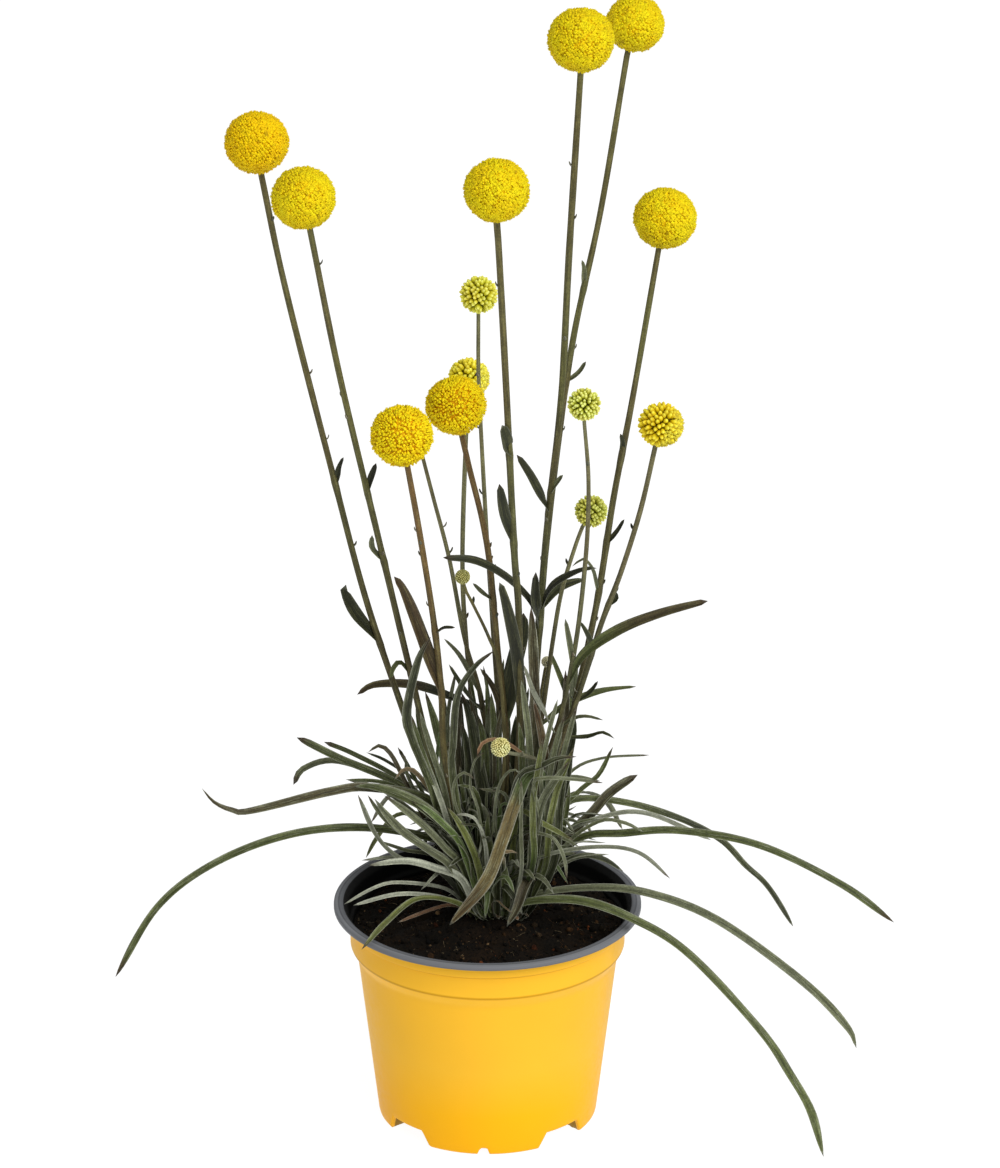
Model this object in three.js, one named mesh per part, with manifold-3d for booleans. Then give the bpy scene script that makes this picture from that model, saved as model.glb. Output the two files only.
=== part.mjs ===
// A potted billy buttons plant (Craspedia globosa): a round plastic nursery pot filled with potting
// soil, a rosette of long narrow leaves, and seventeen flower stems that each carry one globe of florets.
// Millimetres, +Z up. X runs to the plant's right, Y to its back. The origin is the middle of the
// pot's underside, which stands on the surface.

import * as THREE from 'three';
import { ConvexHull } from 'three/addons/math/ConvexHull.js';
import { mergeVertices } from 'three/addons/utils/BufferGeometryUtils.js';
import Module from 'manifold-3d';

const wasm = await Module();
wasm.setup();

// ---------------------------------------------------------------- driving dimensions

const GAP = 0.3;                 // clear space round a piece that sits in another
const CLOSE_TO_AXIS = 1e-6;      // radius that counts as on the turning axis

// Pot: 13 cm across the rim, 97 mm high, one sheet of plastic.
const RIM_HEIGHT = 97;
const RIM_RADIUS = 65;
const LIP_INNER_RADIUS = 61;
const LIP_UNDERSIDE = 94.4;      // height of the underside of the flange
const COLLAR_RADIUS = 58.1;      // straight band under the rim
const COLLAR_TOP = 88.6;
const COLLAR_BOTTOM = 78.6;
const BODY_TOP_RADIUS = 55.1;    // top of the tapering body
const BODY_TOP = 73.8;
const BODY_FOOT_RADIUS = 46.9;   // where the body turns in to the underside
const BODY_FOOT = 4.5;
const BASE_FLAT_RADIUS = 45.4;
const WALL = 1.2;
const POT_SEGMENTS = 32;

// Underside: four feet, parted by four channels that let water run out.
const FOOT_COUNT = 4;
const FIRST_CHANNEL_ANGLE = 43;  // degrees from +X
const CHANNEL_WIDTH = [24, 17.5];  // at the surface and at its roof
const CHANNEL_HEIGHT = 7;
const CHANNEL_START = 17;        // distance of a channel's inner end from the axis
const FOOT_NOTCH_WIDTH = [5, 3];
const FOOT_NOTCH_HEIGHT = 3;
const FOOT_NOTCH_DEPTH = 9;
const DRAIN_RADIUS = 2.6;
const DRAIN_DISTANCE = 31;       // of a drain hole from the axis

// Soil.
const SOIL_EDGE_HEIGHT = 86.5;
const SOIL_MOUND = 4.5;          // how much the middle stands above the edge
const CRUMB_HEIGHTS = [0.7, 0.45]; // of the two sets of waves that roughen the soil
const SOIL_RINGS = 5;
const SOIL_SEGMENTS = 30;

// Crown: the short woody body that leaves and stems grow from.
const CROWN_CENTRE = [5, 9.5, 87];
const CROWN_RADII = [21, 22, 14];
const CROWN_LOBES = 7;
const CROWN_LOBE_DEPTH = 0.05;   // as a share of the radius

// Stems and leaves.
const STEM_SIDES = 5;
const STEM_STEPS = 9;
const STEM_INTO_HEAD = 5;        // length of stem that sits in the globe
const LEAF_THICKNESS = 0.9;      // at the midrib
const LEAF_CHANNEL = 0.16;       // how far the edges rise, as a share of the width
const LEAF_SLIM_SHARE = 0.55;    // a leaf's least width as a share of its full width
const LEAF_STEP_LENGTH = 20;     // a leaf has one step for each such length
const LEAF_STEPS = [3, 9];       // fewest and most steps
const LEAF_FINE_STEPS = 24;      // steps of the line that is tested for clearance
const LEAF_CLEARANCE = 0.6;      // least space between a leaf and what it passes
const SWAY_STEP = 1.5;           // a leaf in the way of a stem is bent aside by this much at a time
const SWAY_STEPS = 16;
const SWAY_DIRECTION = new THREE.Vector3(0, 0.928, -0.373);

// Globes.
const HEAD_SQUASH = 0.96;        // height of a globe over its width
const FLORET_VALLEY = 0.87;      // how deep the gaps between florets reach, as a share of the radius
const FLORET_UNEVENNESS = 0.02;  // how much florets differ in height, as a share of the radius
const LEAST_STEM_DEPTH = 0.35;   // in a small globe the stem ends at this share of the radius

const COLOURS = {
  pot: 0xf7bd33, soil: 0x2a1c16, leaf: 0x4f5539, stem: 0x626741,
  yellow: 0xe9c914, orange: 0xf0b410, lime: 0xc3cd4e, cream: 0xd9d7a4,
};

// One entry for each flowering stem: where it leaves the crown, the points that it passes, the
// centre and radius of its globe, the number of florets, its colour and its radius at both ends.
const STEMS = [
  { base: [-6, 10, 95], through: [[-24, 10, 146], [-36, 8, 183], [-50.4, 8, 231], [-63, 10, 283],
    [-82, 13, 365], [-91.4, 15, 414]], head: [-93, 15, 427], size: 13.1, florets: 62, colour: 'yellow',
    radii: [1.5, 1.2] },
  { base: [-5, 5, 95], through: [[-21, 0, 152], [-32.5, -8, 208], [-44.3, -16, 267], [-59.3, -26, 342],
    [-70, -35, 406]], head: [-72.5, -37, 420.4], size: 12.9, florets: 62, colour: 'yellow',
    radii: [1.5, 1.2] },
  { base: [11, 8, 96], through: [[18, 4, 169], [24, -8, 261], [30, -16, 328], [33, -22, 394],
    [37, -30, 470]], head: [37, -31, 483.5], size: 13.2, florets: 66, colour: 'yellow',
    radii: [1.6, 1.3] },
  { base: [15, 21, 95], through: [[17, 29, 150], [21, 30, 196], [24, 33, 239], [29.6, 38, 290],
    [36, 44, 335], [46.8, 52, 386], [57.4, 60, 451]], head: [60.6, 62, 463], size: 12, florets: 62,
    colour: 'yellow', radii: [1.5, 1.2] },
  { base: [6, 4, 97], through: [[13, -8, 165], [13, -24, 235], [11, -32, 269], [8, -44, 338],
    [5, -55, 401], [4, -57, 417]], head: [4, -60, 431], size: 13, florets: 62, colour: 'yellow',
    radii: [1.6, 1.3] },
  { base: [16, 12, 96], through: [[31, 14, 155], [37, 16, 182], [46, 20, 226], [52.4, 25, 269],
    [60, 30, 311], [70.6, 40, 374]], head: [73, 42, 386], size: 13.1, florets: 62, colour: 'yellow',
    radii: [1.5, 1.2] },
  { base: [4, 20, 96], through: [[5, 17, 163], [2, 18, 218], [-0.6, 20, 262], [-3.4, 24, 319],
    [-3.6, 26, 350]], head: [-3.4, 27, 358], size: 8.1, florets: 42, colour: 'lime', radii: [1.1, 0.8] },
  { base: [0, 23, 95], through: [[-4, 25, 151], [-9, 32, 203], [-10.5, 40, 236], [-9, 52, 285],
    [-7.6, 56, 302]], head: [-7.8, 58, 310.5], size: 9, florets: 46, colour: 'yellow', radii: [1.2, 0.9] },
  { base: [4, 10, 98], through: [[8, 2, 161], [4, -6, 218], [0, -12, 263], [-7.4, -18, 300],
    [-10, -20, 313]], head: [-12.6, -22, 327.6], size: 12.6, florets: 62, colour: 'orange',
    radii: [1.4, 1.2] },
  { base: [-3, 0, 95], through: [[-17, -8, 161], [-19, -16, 200], [-22, -24, 235], [-27.5, -36, 279],
    [-31.8, -46, 310]], head: [-34, -50, 325], size: 12.9, florets: 62, colour: 'orange',
    radii: [1.5, 1.2] },
  { base: [12, 0, 96], through: [[22, -7, 156], [30, -12, 185], [36.6, -20, 224], [40.4, -28, 267],
    [41, -35, 300], [39, -40, 328]], head: [39, -41, 335], size: 6.9, florets: 40, colour: 'lime',
    radii: [1.2, 0.8] },
  { base: [16, 5, 96], through: [[27, 2, 156], [38.6, -6, 196], [47, -12, 228], [55, -18, 254],
    [62.4, -24, 283], [68, -30, 313]], head: [70, -32, 323], size: 9.5, florets: 48, colour: 'yellow',
    radii: [1.3, 1.0] },
  { base: [10, 15, 97], through: [[20, 11, 156], [27.4, 8, 213], [31, 6, 236], [36, 4, 255],
    [39, 2, 265]], head: [42.8, 0, 273.3], size: 7, florets: 40, colour: 'lime', radii: [1.2, 0.8] },
  { base: [1, -2, 96], through: [[7, -12, 165], [5, -18, 210], [1, -21, 225], [-5, -24, 240],
    [-9, -26, 249]], head: [-10, -27, 255], size: 3.1, florets: 20, colour: 'cream',
    radii: [1.0, 0.65] },
  { base: [7, -4, 95], through: [[21, -15, 149], [22, -20, 168], [16, -24, 174], [9, -26, 176]],
    head: [5.5, -28, 179.6], size: 4.1, florets: 28, colour: 'cream', radii: [1.0, 0.7] },
  { base: [7, 15, 97], through: [[18, 18, 154], [22, 18, 181], [24, 17, 195]], head: [25, 17, 199],
    size: 2.4, florets: 20, colour: 'cream', radii: [0.9, 0.6] },
  { base: [-2, 16, 96], through: [[1, 13, 146], [-2.6, 12, 184], [-9.4, 8, 213], [-15.6, 2, 251],
    [-22, -3, 280], [-27, -8, 303]], head: [-30, -9, 311], size: 5, florets: 34, colour: 'yellow',
    radii: [1.2, 0.8] },
];

// Basal leaves, each as its width and the points of its midrib, from the crown to the tip.
const BASAL_LEAVES = [
  // long outer leaves that arch over the rim
  { width: 3.6, path: [[-8, 10, 96], [-14, 8, 117], [-45, 4, 128], [-79, -2, 129], [-112, -8, 119],
    [-138, -12, 100], [-157, -17, 69]] },
  { width: 3.8, path: [[-7, 3, 96], [-9, 0, 122], [-24, -5, 145], [-49, -7, 152], [-66, -9, 151],
    [-99, -13, 144], [-107, -14, 145], [-114, -15, 149], [-119, -16, 156]] },
  { width: 3.4, path: [[19, 8.5, 93], [37, 9, 120], [58, 4, 126], [81, 0, 129], [114, -6, 125],
    [148, -12, 110], [171, -16, 94]] },
  { width: 3.2, path: [[18, 20, 95], [27, 28, 121], [37, 32, 129], [59, 40, 124], [82, 46, 114],
    [100, 48, 103], [111, 50, 90], [121, 54, 78], [133, 60, 56]] },
  { width: 3.6, path: [[13, -6, 94], [18, -9, 103], [43, -16, 110], [68, -24, 111], [97, -32, 102],
    [132, -45, 80], [150, -50, 62], [154, -52, 53]] },
  { width: 4.2, path: [[8, -7, 93], [16, -13, 102], [38, -22, 107], [59, -31, 103.5], [83, -41, 92],
    [113, -54, 63], [126, -58, 44], [135, -61, 28], [140.5, -65, 9]] },
  // left side
  { width: 3, path: [[-10, 14, 95], [-16, 17, 122], [-37, 22, 140], [-63, 28, 150], [-81, 32, 158]] },
  { width: 3, path: [[-10, 18, 94], [-20, 23, 119], [-37, 28, 137], [-63, 36, 145], [-78, 40, 140],
    [-83, 41, 132]] },
  { width: 2.2, path: [[-7, 22, 94], [-22, 29, 124], [-37, 35, 137], [-57, 44, 145], [-70, 48, 149]] },
  { width: 1.8, path: [[-4, 24, 94], [-16, 34, 121], [-28, 38, 133], [-43, 43, 142], [-52, 46, 145]] },
  { width: 1.6, path: [[-9, 16, 96], [-23, 20, 128], [-32, 22, 146], [-38, 22, 158]] },
  { width: 1.6, path: [[-10, 12, 96], [-26, 13, 126], [-45, 18, 140], [-60, 22, 143]] },
  { width: 2.8, path: [[-8, 2, 94], [-20, -4, 112], [-37, -10, 121], [-47, -14, 134],
    [-54, -16, 153]] },
  { width: 2.6, path: [[-9, 5, 95], [-24, -2, 120], [-39, -8, 134], [-46, -10, 143],
    [-50, -12, 151]] },
  { width: 2, path: [[-9, 7, 94], [-20, 2, 115], [-35, -6, 123], [-46, -10, 129]] },
  { width: 2.2, path: [[-10, 13, 94], [-24, 19, 124], [-38, 23, 126], [-47, 26, 114],
    [-52, 27, 104]] },
  { width: 2, path: [[-7, -1, 93], [-18, -8, 106], [-37, -17, 113], [-47, -22, 113], [-60, -28, 108]] },
  { width: 1.8, path: [[-5, -4, 92], [-18, -13, 104], [-37, -22, 110], [-56, -31, 109]] },
  { width: 2.2, path: [[-9, 4, 93], [-18, 0, 108], [-37, -6, 119], [-53, -10, 120]] },
  { width: 3.2, path: [[-3, -5, 92], [-16, -18, 105], [-30, -32, 112], [-42, -46, 108],
    [-52, -57, 101]] },
  { width: 1.8, path: [[-8, 0, 92], [-16, -3, 96], [-27, -7, 94.5], [-38, -12, 92]] },
  // front and middle
  { width: 5.6, path: [[13, -3, 95], [22, -14, 130], [24.5, -22, 154], [21.5, -26, 167],
    [16, -29, 167], [10, -31, 155], [4, -33, 139], [-4, -35, 121], [-13, -36, 102]] },
  { width: 4, path: [[10, -6, 93], [17, -14, 112], [15, -19, 111], [11, -24, 102], [8, -28, 95]] },
  { width: 2.6, path: [[4, -7, 93], [6, -12, 109], [11, -18, 107], [15, -22, 100]] },
  { width: 2.6, path: [[12, -4, 95], [17, -10, 112], [23, -15, 114], [28, -20, 109]] },
  { width: 2.2, path: [[11, -5, 95], [14, -11, 115], [26, -17, 126], [47, -25, 133], [63, -31, 133],
    [76, -37, 124]] },
  { width: 1.8, path: [[-2, -6, 93], [-5, -10, 122], [-10, -14, 139], [-17, -16, 143]] },
  { width: 2.6, path: [[4, -7, 94], [2, -12, 122], [0, -16, 137], [1, -18, 146]] },
  { width: 3, path: [[-4, -4, 94], [-7, -9, 116], [-14, -14, 129], [-21, -16, 137]] },
  { width: 2.6, path: [[1, -7, 93], [0, -12, 107], [0, -17, 106], [-1, -22, 98]] },
  { width: 4, path: [[-8, -2, 94], [-22, -9, 148], [-31, -16, 177], [-33, -20, 192], [-28, -22, 216],
    [-23, -23, 227]] },
  { width: 3.2, path: [[-5, -5, 94], [-14, -18, 159], [-14, -25, 180], [-12, -29, 203],
    [-5, -32, 217], [3, -33, 225]] },
  { width: 1.8, path: [[-9, 8, 95], [-21, 6, 138], [-27, 4, 166], [-30, 2, 184]] },
  { width: 5.2, path: [[19, 0, 95], [22.2, -1.5, 128], [22.4, -1.5, 145], [21, -3, 160],
    [20, -10, 190], [19, -15, 216], [18, -18, 238]] },
  { width: 1.4, path: [[-9, 1, 95], [-19, -3, 138], [-21, -5, 165], [-18, -6, 184]] },
  // right side
  { width: 1.8, path: [[19, 16, 95], [25, 19, 132], [36, 22, 147], [49, 26, 151], [69, 34, 149]] },
  { width: 2.2, path: [[20, 14, 95], [29, 15, 128], [39, 17, 140], [47, 18, 147], [53, 20, 159]] },
  { width: 1.8, path: [[17, 21, 95], [24, 25, 130], [33, 28, 141], [48, 34, 137]] },
  { width: 3.4, path: [[20, 17, 94], [31, 23, 112], [44, 28, 124], [52, 32, 132], [64, 36, 139]] },
  { width: 2.2, path: [[21, 12, 95], [31, 15, 119], [48, 18, 127], [67, 18, 129], [95, 17, 117]] },
  { width: 1.8, path: [[21, 6, 95], [33, 5, 120], [47, 3, 132], [57, 2, 132], [66, 1, 128]] },
  { width: 2.4, path: [[20, 4, 95], [24, 1, 118], [30, -3, 127], [39, -8, 125]] },
  { width: 1.6, path: [[18, -1, 94], [23, -6, 116], [28, -11, 119], [34, -17, 112]] },
  { width: 3, path: [[20, 18, 93], [31, 22, 103], [41, 23, 107], [50, 23, 105], [58, 22, 100]] },
  // inner leaves that stand up among the stems
  { width: 5.6, path: [[-1, 4, 95], [-1, 3, 136], [-4, 6, 157], [-7, 9, 175], [-11, 11, 188]] },
  { width: 4.6, path: [[15, -2, 95], [24, -12, 149], [24, -18, 167], [22, -21, 183], [19, -23, 199]] },
  { width: 3.2, path: [[7, -5, 95], [14, -14, 150], [14.5, -18, 170], [14, -20, 180],
    [13, -21, 188]] },
  { width: 4.6, path: [[17, -2, 95], [24, -12, 150], [26.5, -16, 166], [29, -20, 177],
    [31, -22, 184]] },
  { width: 4, path: [[20, 8, 95], [32, 2, 147], [34, 2, 163], [36, 0, 175], [36, -2, 184]] },
  { width: 4.4, path: [[0, 6, 95], [-7, 4.5, 121], [-15, 2, 147], [-19, 2, 165], [-23, 0, 182],
    [-26, 0, 193]] },
  { width: 2.4, path: [[-9, 5, 94], [-23, 5, 131], [-33, 8, 141], [-43, 11, 146], [-60, 15, 146]] },
];

// Leaves that grow from a flowering stem: the stem, the height where they leave it, the width and
// the points of the midrib after that.
const STEM_LEAVES = [
  { stem: 1, from: 212, width: 3.8, path: [[-54.4, 6, 225], [-59, 3, 236], [-58.4, 2, 240]] },
  { stem: 1, from: 281, width: 2, path: [[-61, 9, 288], [-59, 8, 294]] },
  { stem: 2, from: 203, width: 1.6, path: [[-36, -10, 210], [-39, -12, 208], [-40, -13, 203]] },
  { stem: 2, from: 257, width: 2, path: [[-47, -16, 263], [-47, -16, 269]] },
  { stem: 2, from: 289, width: 2, path: [[-47, -20, 296], [-45, -20, 302]] },
  { stem: 3, from: 226, width: 3.4, path: [[17, -9, 238], [7, -19, 252], [-5, -27, 262],
    [-18, -31, 265]] },
  { stem: 3, from: 222, width: 3, path: [[20, -12, 238], [20, -14, 252]] },
  { stem: 3, from: 231, width: 3, path: [[27, -12, 245], [38, -18, 254], [45, -20, 256]] },
  { stem: 3, from: 277, width: 3.2, path: [[22, -16, 286], [17, -19, 297], [12, -21, 306]] },
  { stem: 3, from: 285, width: 2, path: [[28, -14, 290], [31, -15, 295]] },
  { stem: 4, from: 217, width: 3, path: [[30, 35, 225], [41, 38, 228]] },
  { stem: 4, from: 315, width: 1.8, path: [[38, 41, 319], [41, 41, 324]] },
  { stem: 4, from: 354, width: 1.8, path: [[40, 46, 361], [39, 45, 367]] },
  { stem: 5, from: 195, width: 4.2, path: [[12, -22, 218], [8, -33, 243], [5, -38, 257]] },
  { stem: 5, from: 272, width: 3, path: [[7, -38, 287], [5, -41, 301]] },
  { stem: 5, from: 316, width: 2.6, path: [[9, -43, 322], [8, -45, 328]] },
  { stem: 6, from: 228, width: 1.4, path: [[44, 17, 240], [40, 15, 246], [35, 14, 243]] },
  { stem: 6, from: 176, width: 1.8, path: [[31, 13, 192], [26, 12, 206]] },
  { stem: 6, from: 287, width: 1.8, path: [[56, 26, 293], [55, 25, 298]] },
  { stem: 6, from: 250, width: 2, path: [[54, 21, 256], [57, 20, 262]] },
  { stem: 9, from: 180, width: 5.8, path: [[10.4, -4, 200], [14, -9, 220], [15, -12, 233]] },
  { stem: 9, from: 237, width: 1.6, path: [[-2, -12, 242], [-6, -14, 247]] },
  { stem: 9, from: 176, width: 2.6, path: [[3, -4, 194], [-3, -9, 207]] },
  { stem: 10, from: 200, width: 5, path: [[-27, -22, 226], [-34, -27, 248], [-38, -29, 256]] },
  { stem: 10, from: 228, width: 1.6, path: [[-18, -26, 232], [-13, -28, 233]] },
  { stem: 11, from: 178, width: 1.8, path: [[24, -22, 192], [19, -27, 204], [15, -29, 217]] },
  { stem: 11, from: 212, width: 1.8, path: [[34, -21, 223], [32, -23, 235]] },
  { stem: 11, from: 203, width: 4, path: [[40, -23, 219], [54, -29, 232], [71, -33, 241],
    [90, -36, 248]] },
  { stem: 11, from: 180, width: 1.6, path: [[35, -16, 187], [41, -20, 190], [48, -24, 190]] },
  { stem: 12, from: 213, width: 1.8, path: [[42, -13, 222], [38, -16, 231]] },
  { stem: 12, from: 190, width: 1.6, path: [[43, -5, 195], [46, -6, 200]] },
  { stem: 12, from: 172, width: 1.6, path: [[42, -4, 174], [48, -9, 178], [53, -11, 176]] },
  { stem: 12, from: 237, width: 1.6, path: [[53, -14, 240], [51.6, -13, 244]] },
  { stem: 13, from: 173, width: 2.6, path: [[33, 20, 178], [47, 27, 181], [63, 33, 181]] },
  { stem: 17, from: 180, width: 3, path: [[-12, 16, 182], [-30, 20, 187], [-47, 23, 186],
    [-55, 24, 181]] },
  { stem: 17, from: 186, width: 2, path: [[-11, 4, 206], [-18, -1, 217]] },
  { stem: 17, from: 178, width: 1.8, path: [[-8, 2, 190], [-13, -4, 201], [-16, -7, 208]] },
];

// Leaves at the back of the rosette follow one rule: they fan out evenly with small steady changes.
const BACK_LEAF_COUNT = 13;
const BACK_FAN = [44, 138];      // degrees from +X
const BACK_START = 17.5;         // distance of their bases from the middle of the crown
const BACK_REACH = [46, 82];    // horizontal length, shortest and longest
const BACK_RISE = [8, 28];
const BACK_WIDTH = [2.2, 3.6];

// ---------------------------------------------------------------- solids and meshes

const vector = (point) => new THREE.Vector3(point[0], point[1], point[2]);

function signedVolume(positions, triangles) {
  let volume = 0;
  for (let i = 0; i < triangles.length; i += 3) {
    const [a, b, c] = [0, 1, 2].map((k) => positions[triangles[i + k]]);
    volume += a.dot(b.clone().cross(c)) / 6;
  }
  return volume;
}

// A closed mesh from corner points and triangles, with its faces turned outwards.
function solidFrom(positions, triangles) {
  if (signedVolume(positions, triangles) < 0) triangles.reverse();
  const mesh = new wasm.Mesh({
    numProp: 3,
    vertProperties: new Float32Array(positions.flatMap((p) => [p.x, p.y, p.z])),
    triVerts: new Uint32Array(triangles),
  });
  return new wasm.Manifold(mesh);
}

function solidFromGeometry(geometry) {
  const bare = geometry.clone();
  bare.deleteAttribute('normal');
  bare.deleteAttribute('uv');
  const merged = mergeVertices(bare, 1e-4);
  const places = merged.getAttribute('position');
  const positions = [];
  for (let i = 0; i < places.count; i += 1) {
    positions.push(new THREE.Vector3().fromBufferAttribute(places, i));
  }
  const corners = Array.from(merged.index.array);
  const triangles = [];
  for (let i = 0; i < corners.length; i += 3) {
    const [a, b, c] = corners.slice(i, i + 3);
    if (a !== b && b !== c && c !== a) triangles.push(a, b, c);
  }
  return solidFrom(positions, triangles);
}

function geometryOf(solid) {
  const { vertProperties, triVerts } = solid.getMesh();
  const geometry = new THREE.BufferGeometry();
  geometry.setAttribute('position', new THREE.BufferAttribute(new Float32Array(vertProperties), 3));
  geometry.setIndex(new THREE.BufferAttribute(new Uint32Array(triVerts), 1));
  geometry.computeVertexNormals();
  return geometry;
}

// The largest connected body of a solid: scraps that a cut leaves loose are dropped.
function mainBody(solid) {
  const bodies = solid.decompose();
  return bodies.reduce((best, body) => (body.volume() > best.volume() ? body : best));
}

const joined = (solids) => solids.reduce((sum, solid) => sum.add(solid));

function named(name, solid, colour, roughness) {
  const material = new THREE.MeshStandardMaterial({
    color: COLOURS[colour], roughness, metalness: 0,
  });
  const mesh = new THREE.Mesh(geometryOf(solid), material);
  mesh.name = name;
  return mesh;
}

// ---------------------------------------------------------------- curves and sweeps

const curveThrough = (points) => new THREE.CatmullRomCurve3(points, false, 'catmullrom', 0.5);

const alongCurve = (points, steps) => curveThrough(points).getPoints(steps);

// A leaf's line, with more steps the longer it is.
function leafLine(points) {
  const [fewest, most] = LEAF_STEPS;
  const steps = Math.round(curveThrough(points).getLength() / LEAF_STEP_LENGTH);
  return alongCurve(points, THREE.MathUtils.clamp(steps, fewest, most));
}

// The point of a rising polyline at a given height.
function pointAtHeight(points, height) {
  const upper = points.findIndex((point) => point.z >= height);
  const [low, high] = [points[upper - 1], points[upper]];
  return low.clone().lerp(high, (height - low.z) / (high.z - low.z));
}

// Sweeps a ring of [across, outward] offsets along the centres. The outward axis keeps to the
// facing direction. A section of null closes the sweep in a point.
function sweep(centres, sections, facing) {
  const positions = [];
  const triangles = [];
  const sides = sections[0].length;
  centres.forEach((centre, i) => {
    const before = centres[Math.max(i - 1, 0)];
    const after = centres[Math.min(i + 1, centres.length - 1)];
    const tangent = after.clone().sub(before).normalize();
    const across = tangent.clone().cross(facing).normalize();
    const outward = across.clone().cross(tangent);
    if (sections[i] === null) {
      positions.push(centre.clone());
      return;
    }
    sections[i].forEach(([a, o]) => {
      positions.push(centre.clone().addScaledVector(across, a).addScaledVector(outward, o));
    });
  });
  for (let i = 0; i + 1 < centres.length; i += 1) {
    for (let k = 0; k < sides; k += 1) {
      const next = (k + 1) % sides;
      const [a, b] = [i * sides + k, i * sides + next];
      if (sections[i + 1] === null) {
        triangles.push(a, b, (i + 1) * sides);
      } else {
        const [c, d] = [(i + 1) * sides + next, (i + 1) * sides + k];
        triangles.push(a, b, c, a, c, d);
      }
    }
  }
  const capFrom = sides - 1;
  for (let k = 0; k + 1 < capFrom; k += 1) {
    triangles.push(capFrom, k + 1, k);
  }
  if (sections[sections.length - 1] !== null) {
    const end = (centres.length - 1) * sides;
    for (let k = 0; k + 1 < capFrom; k += 1) {
      triangles.push(end + capFrom, end + k, end + k + 1);
    }
  }
  return solidFrom(positions, triangles);
}

function roundSection(radius, sides) {
  return Array.from({ length: sides }, (_, k) => {
    const angle = (2 * Math.PI * (k + 0.5)) / sides;
    return [radius * Math.cos(angle), radius * Math.sin(angle)];
  });
}

// ---------------------------------------------------------------- pot and soil

function turned(profile, segments) {
  const points = profile.map(([r, z]) => new THREE.Vector2(Math.max(r, 0), z));
  const geometry = new THREE.LatheGeometry(points, segments);
  geometry.rotateX(Math.PI / 2);
  return solidFromGeometry(geometry);
}

// A block that stands on the surface, narrower at its roof than at its foot, runs outwards along +X
// and is then turned about the axis. A margin makes it larger at the sides, the start and the roof.
function radialBlock(start, [footWidth, roofWidth], height, margin, degrees) {
  const roof = height + margin;
  const block = new THREE.BoxGeometry(RIM_RADIUS - start + margin, 1, 2 * roof);
  block.translate((RIM_RADIUS + start - margin) / 2, 0, 0);
  const places = block.getAttribute('position');
  for (let i = 0; i < places.count; i += 1) {
    const width = places.getZ(i) > 0 ? roofWidth : 2 * footWidth - roofWidth;
    places.setY(i, places.getY(i) * (width + 2 * margin));
  }
  block.rotateZ(THREE.MathUtils.degToRad(degrees));
  return solidFromGeometry(block);
}

const channelAngles = Array.from({ length: FOOT_COUNT },
  (_, i) => FIRST_CHANNEL_ANGLE + (i * 360) / FOOT_COUNT);

// The channels under the pot and the small notch in the middle of each foot, or, with a margin, the
// larger shapes that their walls fill or that the soil leaves free.
const recesses = (margin) => joined([
  ...channelAngles.map((angle) => radialBlock(
    CHANNEL_START, CHANNEL_WIDTH, CHANNEL_HEIGHT, margin, angle)),
  ...channelAngles.map((angle) => radialBlock(
    BODY_FOOT_RADIUS - FOOT_NOTCH_DEPTH, FOOT_NOTCH_WIDTH, FOOT_NOTCH_HEIGHT, margin,
    angle + 180 / FOOT_COUNT)),
]);

// The inside of the pot from floor to lip, drawn in by a margin.
const insideProfile = (margin) => [
  [0, WALL + margin],
  [BASE_FLAT_RADIUS - 0.6 - margin, WALL + margin],
  [BODY_FOOT_RADIUS - 1.8 - margin, WALL + 1.6 + margin],
  [BODY_FOOT_RADIUS - WALL - margin, BODY_FOOT + margin],
  [BODY_TOP_RADIUS - WALL - margin, BODY_TOP],
  [COLLAR_RADIUS - WALL - margin, COLLAR_BOTTOM],
  [COLLAR_RADIUS - WALL - margin, COLLAR_TOP - 1],
];

function potSolid() {
  const outside = turned([
    [0, 0],
    [BASE_FLAT_RADIUS, 0],
    [BASE_FLAT_RADIUS + 0.8, 0.7],
    [BODY_FOOT_RADIUS - 0.3, 2.2],
    [BODY_FOOT_RADIUS, BODY_FOOT],
    [BODY_TOP_RADIUS, BODY_TOP],
    [BODY_TOP_RADIUS + 1, BODY_TOP + 1.4],
    [COLLAR_RADIUS - 0.9, COLLAR_BOTTOM - 1.6],
    [COLLAR_RADIUS - 0.3, COLLAR_BOTTOM],
    [COLLAR_RADIUS, COLLAR_BOTTOM + 0.3],
    [COLLAR_RADIUS, COLLAR_TOP - 0.6],
    [COLLAR_RADIUS + 1.4, COLLAR_TOP],
    [COLLAR_RADIUS + 2, LIP_UNDERSIDE],
    [RIM_RADIUS - 0.7, LIP_UNDERSIDE],
    [RIM_RADIUS, LIP_UNDERSIDE + 0.8],
    [RIM_RADIUS, RIM_HEIGHT - 0.9],
    [RIM_RADIUS - 0.8, RIM_HEIGHT],
    [0, RIM_HEIGHT],
  ], POT_SEGMENTS);
  const inside = turned([
    ...insideProfile(0),
    [LIP_INNER_RADIUS - 1, RIM_HEIGHT - 1.4],
    [LIP_INNER_RADIUS, RIM_HEIGHT],
    [LIP_INNER_RADIUS, RIM_HEIGHT + 2],
    [0, RIM_HEIGHT + 2],
  ], POT_SEGMENTS);
  const drains = joined(channelAngles.map((angle) => {
    const drill = new THREE.CylinderGeometry(DRAIN_RADIUS, DRAIN_RADIUS, 4 * CHANNEL_HEIGHT, 8);
    drill.rotateX(Math.PI / 2);
    drill.translate(DRAIN_DISTANCE, 0, 0);
    drill.rotateZ(THREE.MathUtils.degToRad(angle));
    return solidFromGeometry(drill);
  }));
  const shell = outside.subtract(recesses(0));
  const hollow = inside.subtract(recesses(WALL));
  return mainBody(shell.subtract(hollow).subtract(drains));
}

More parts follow.
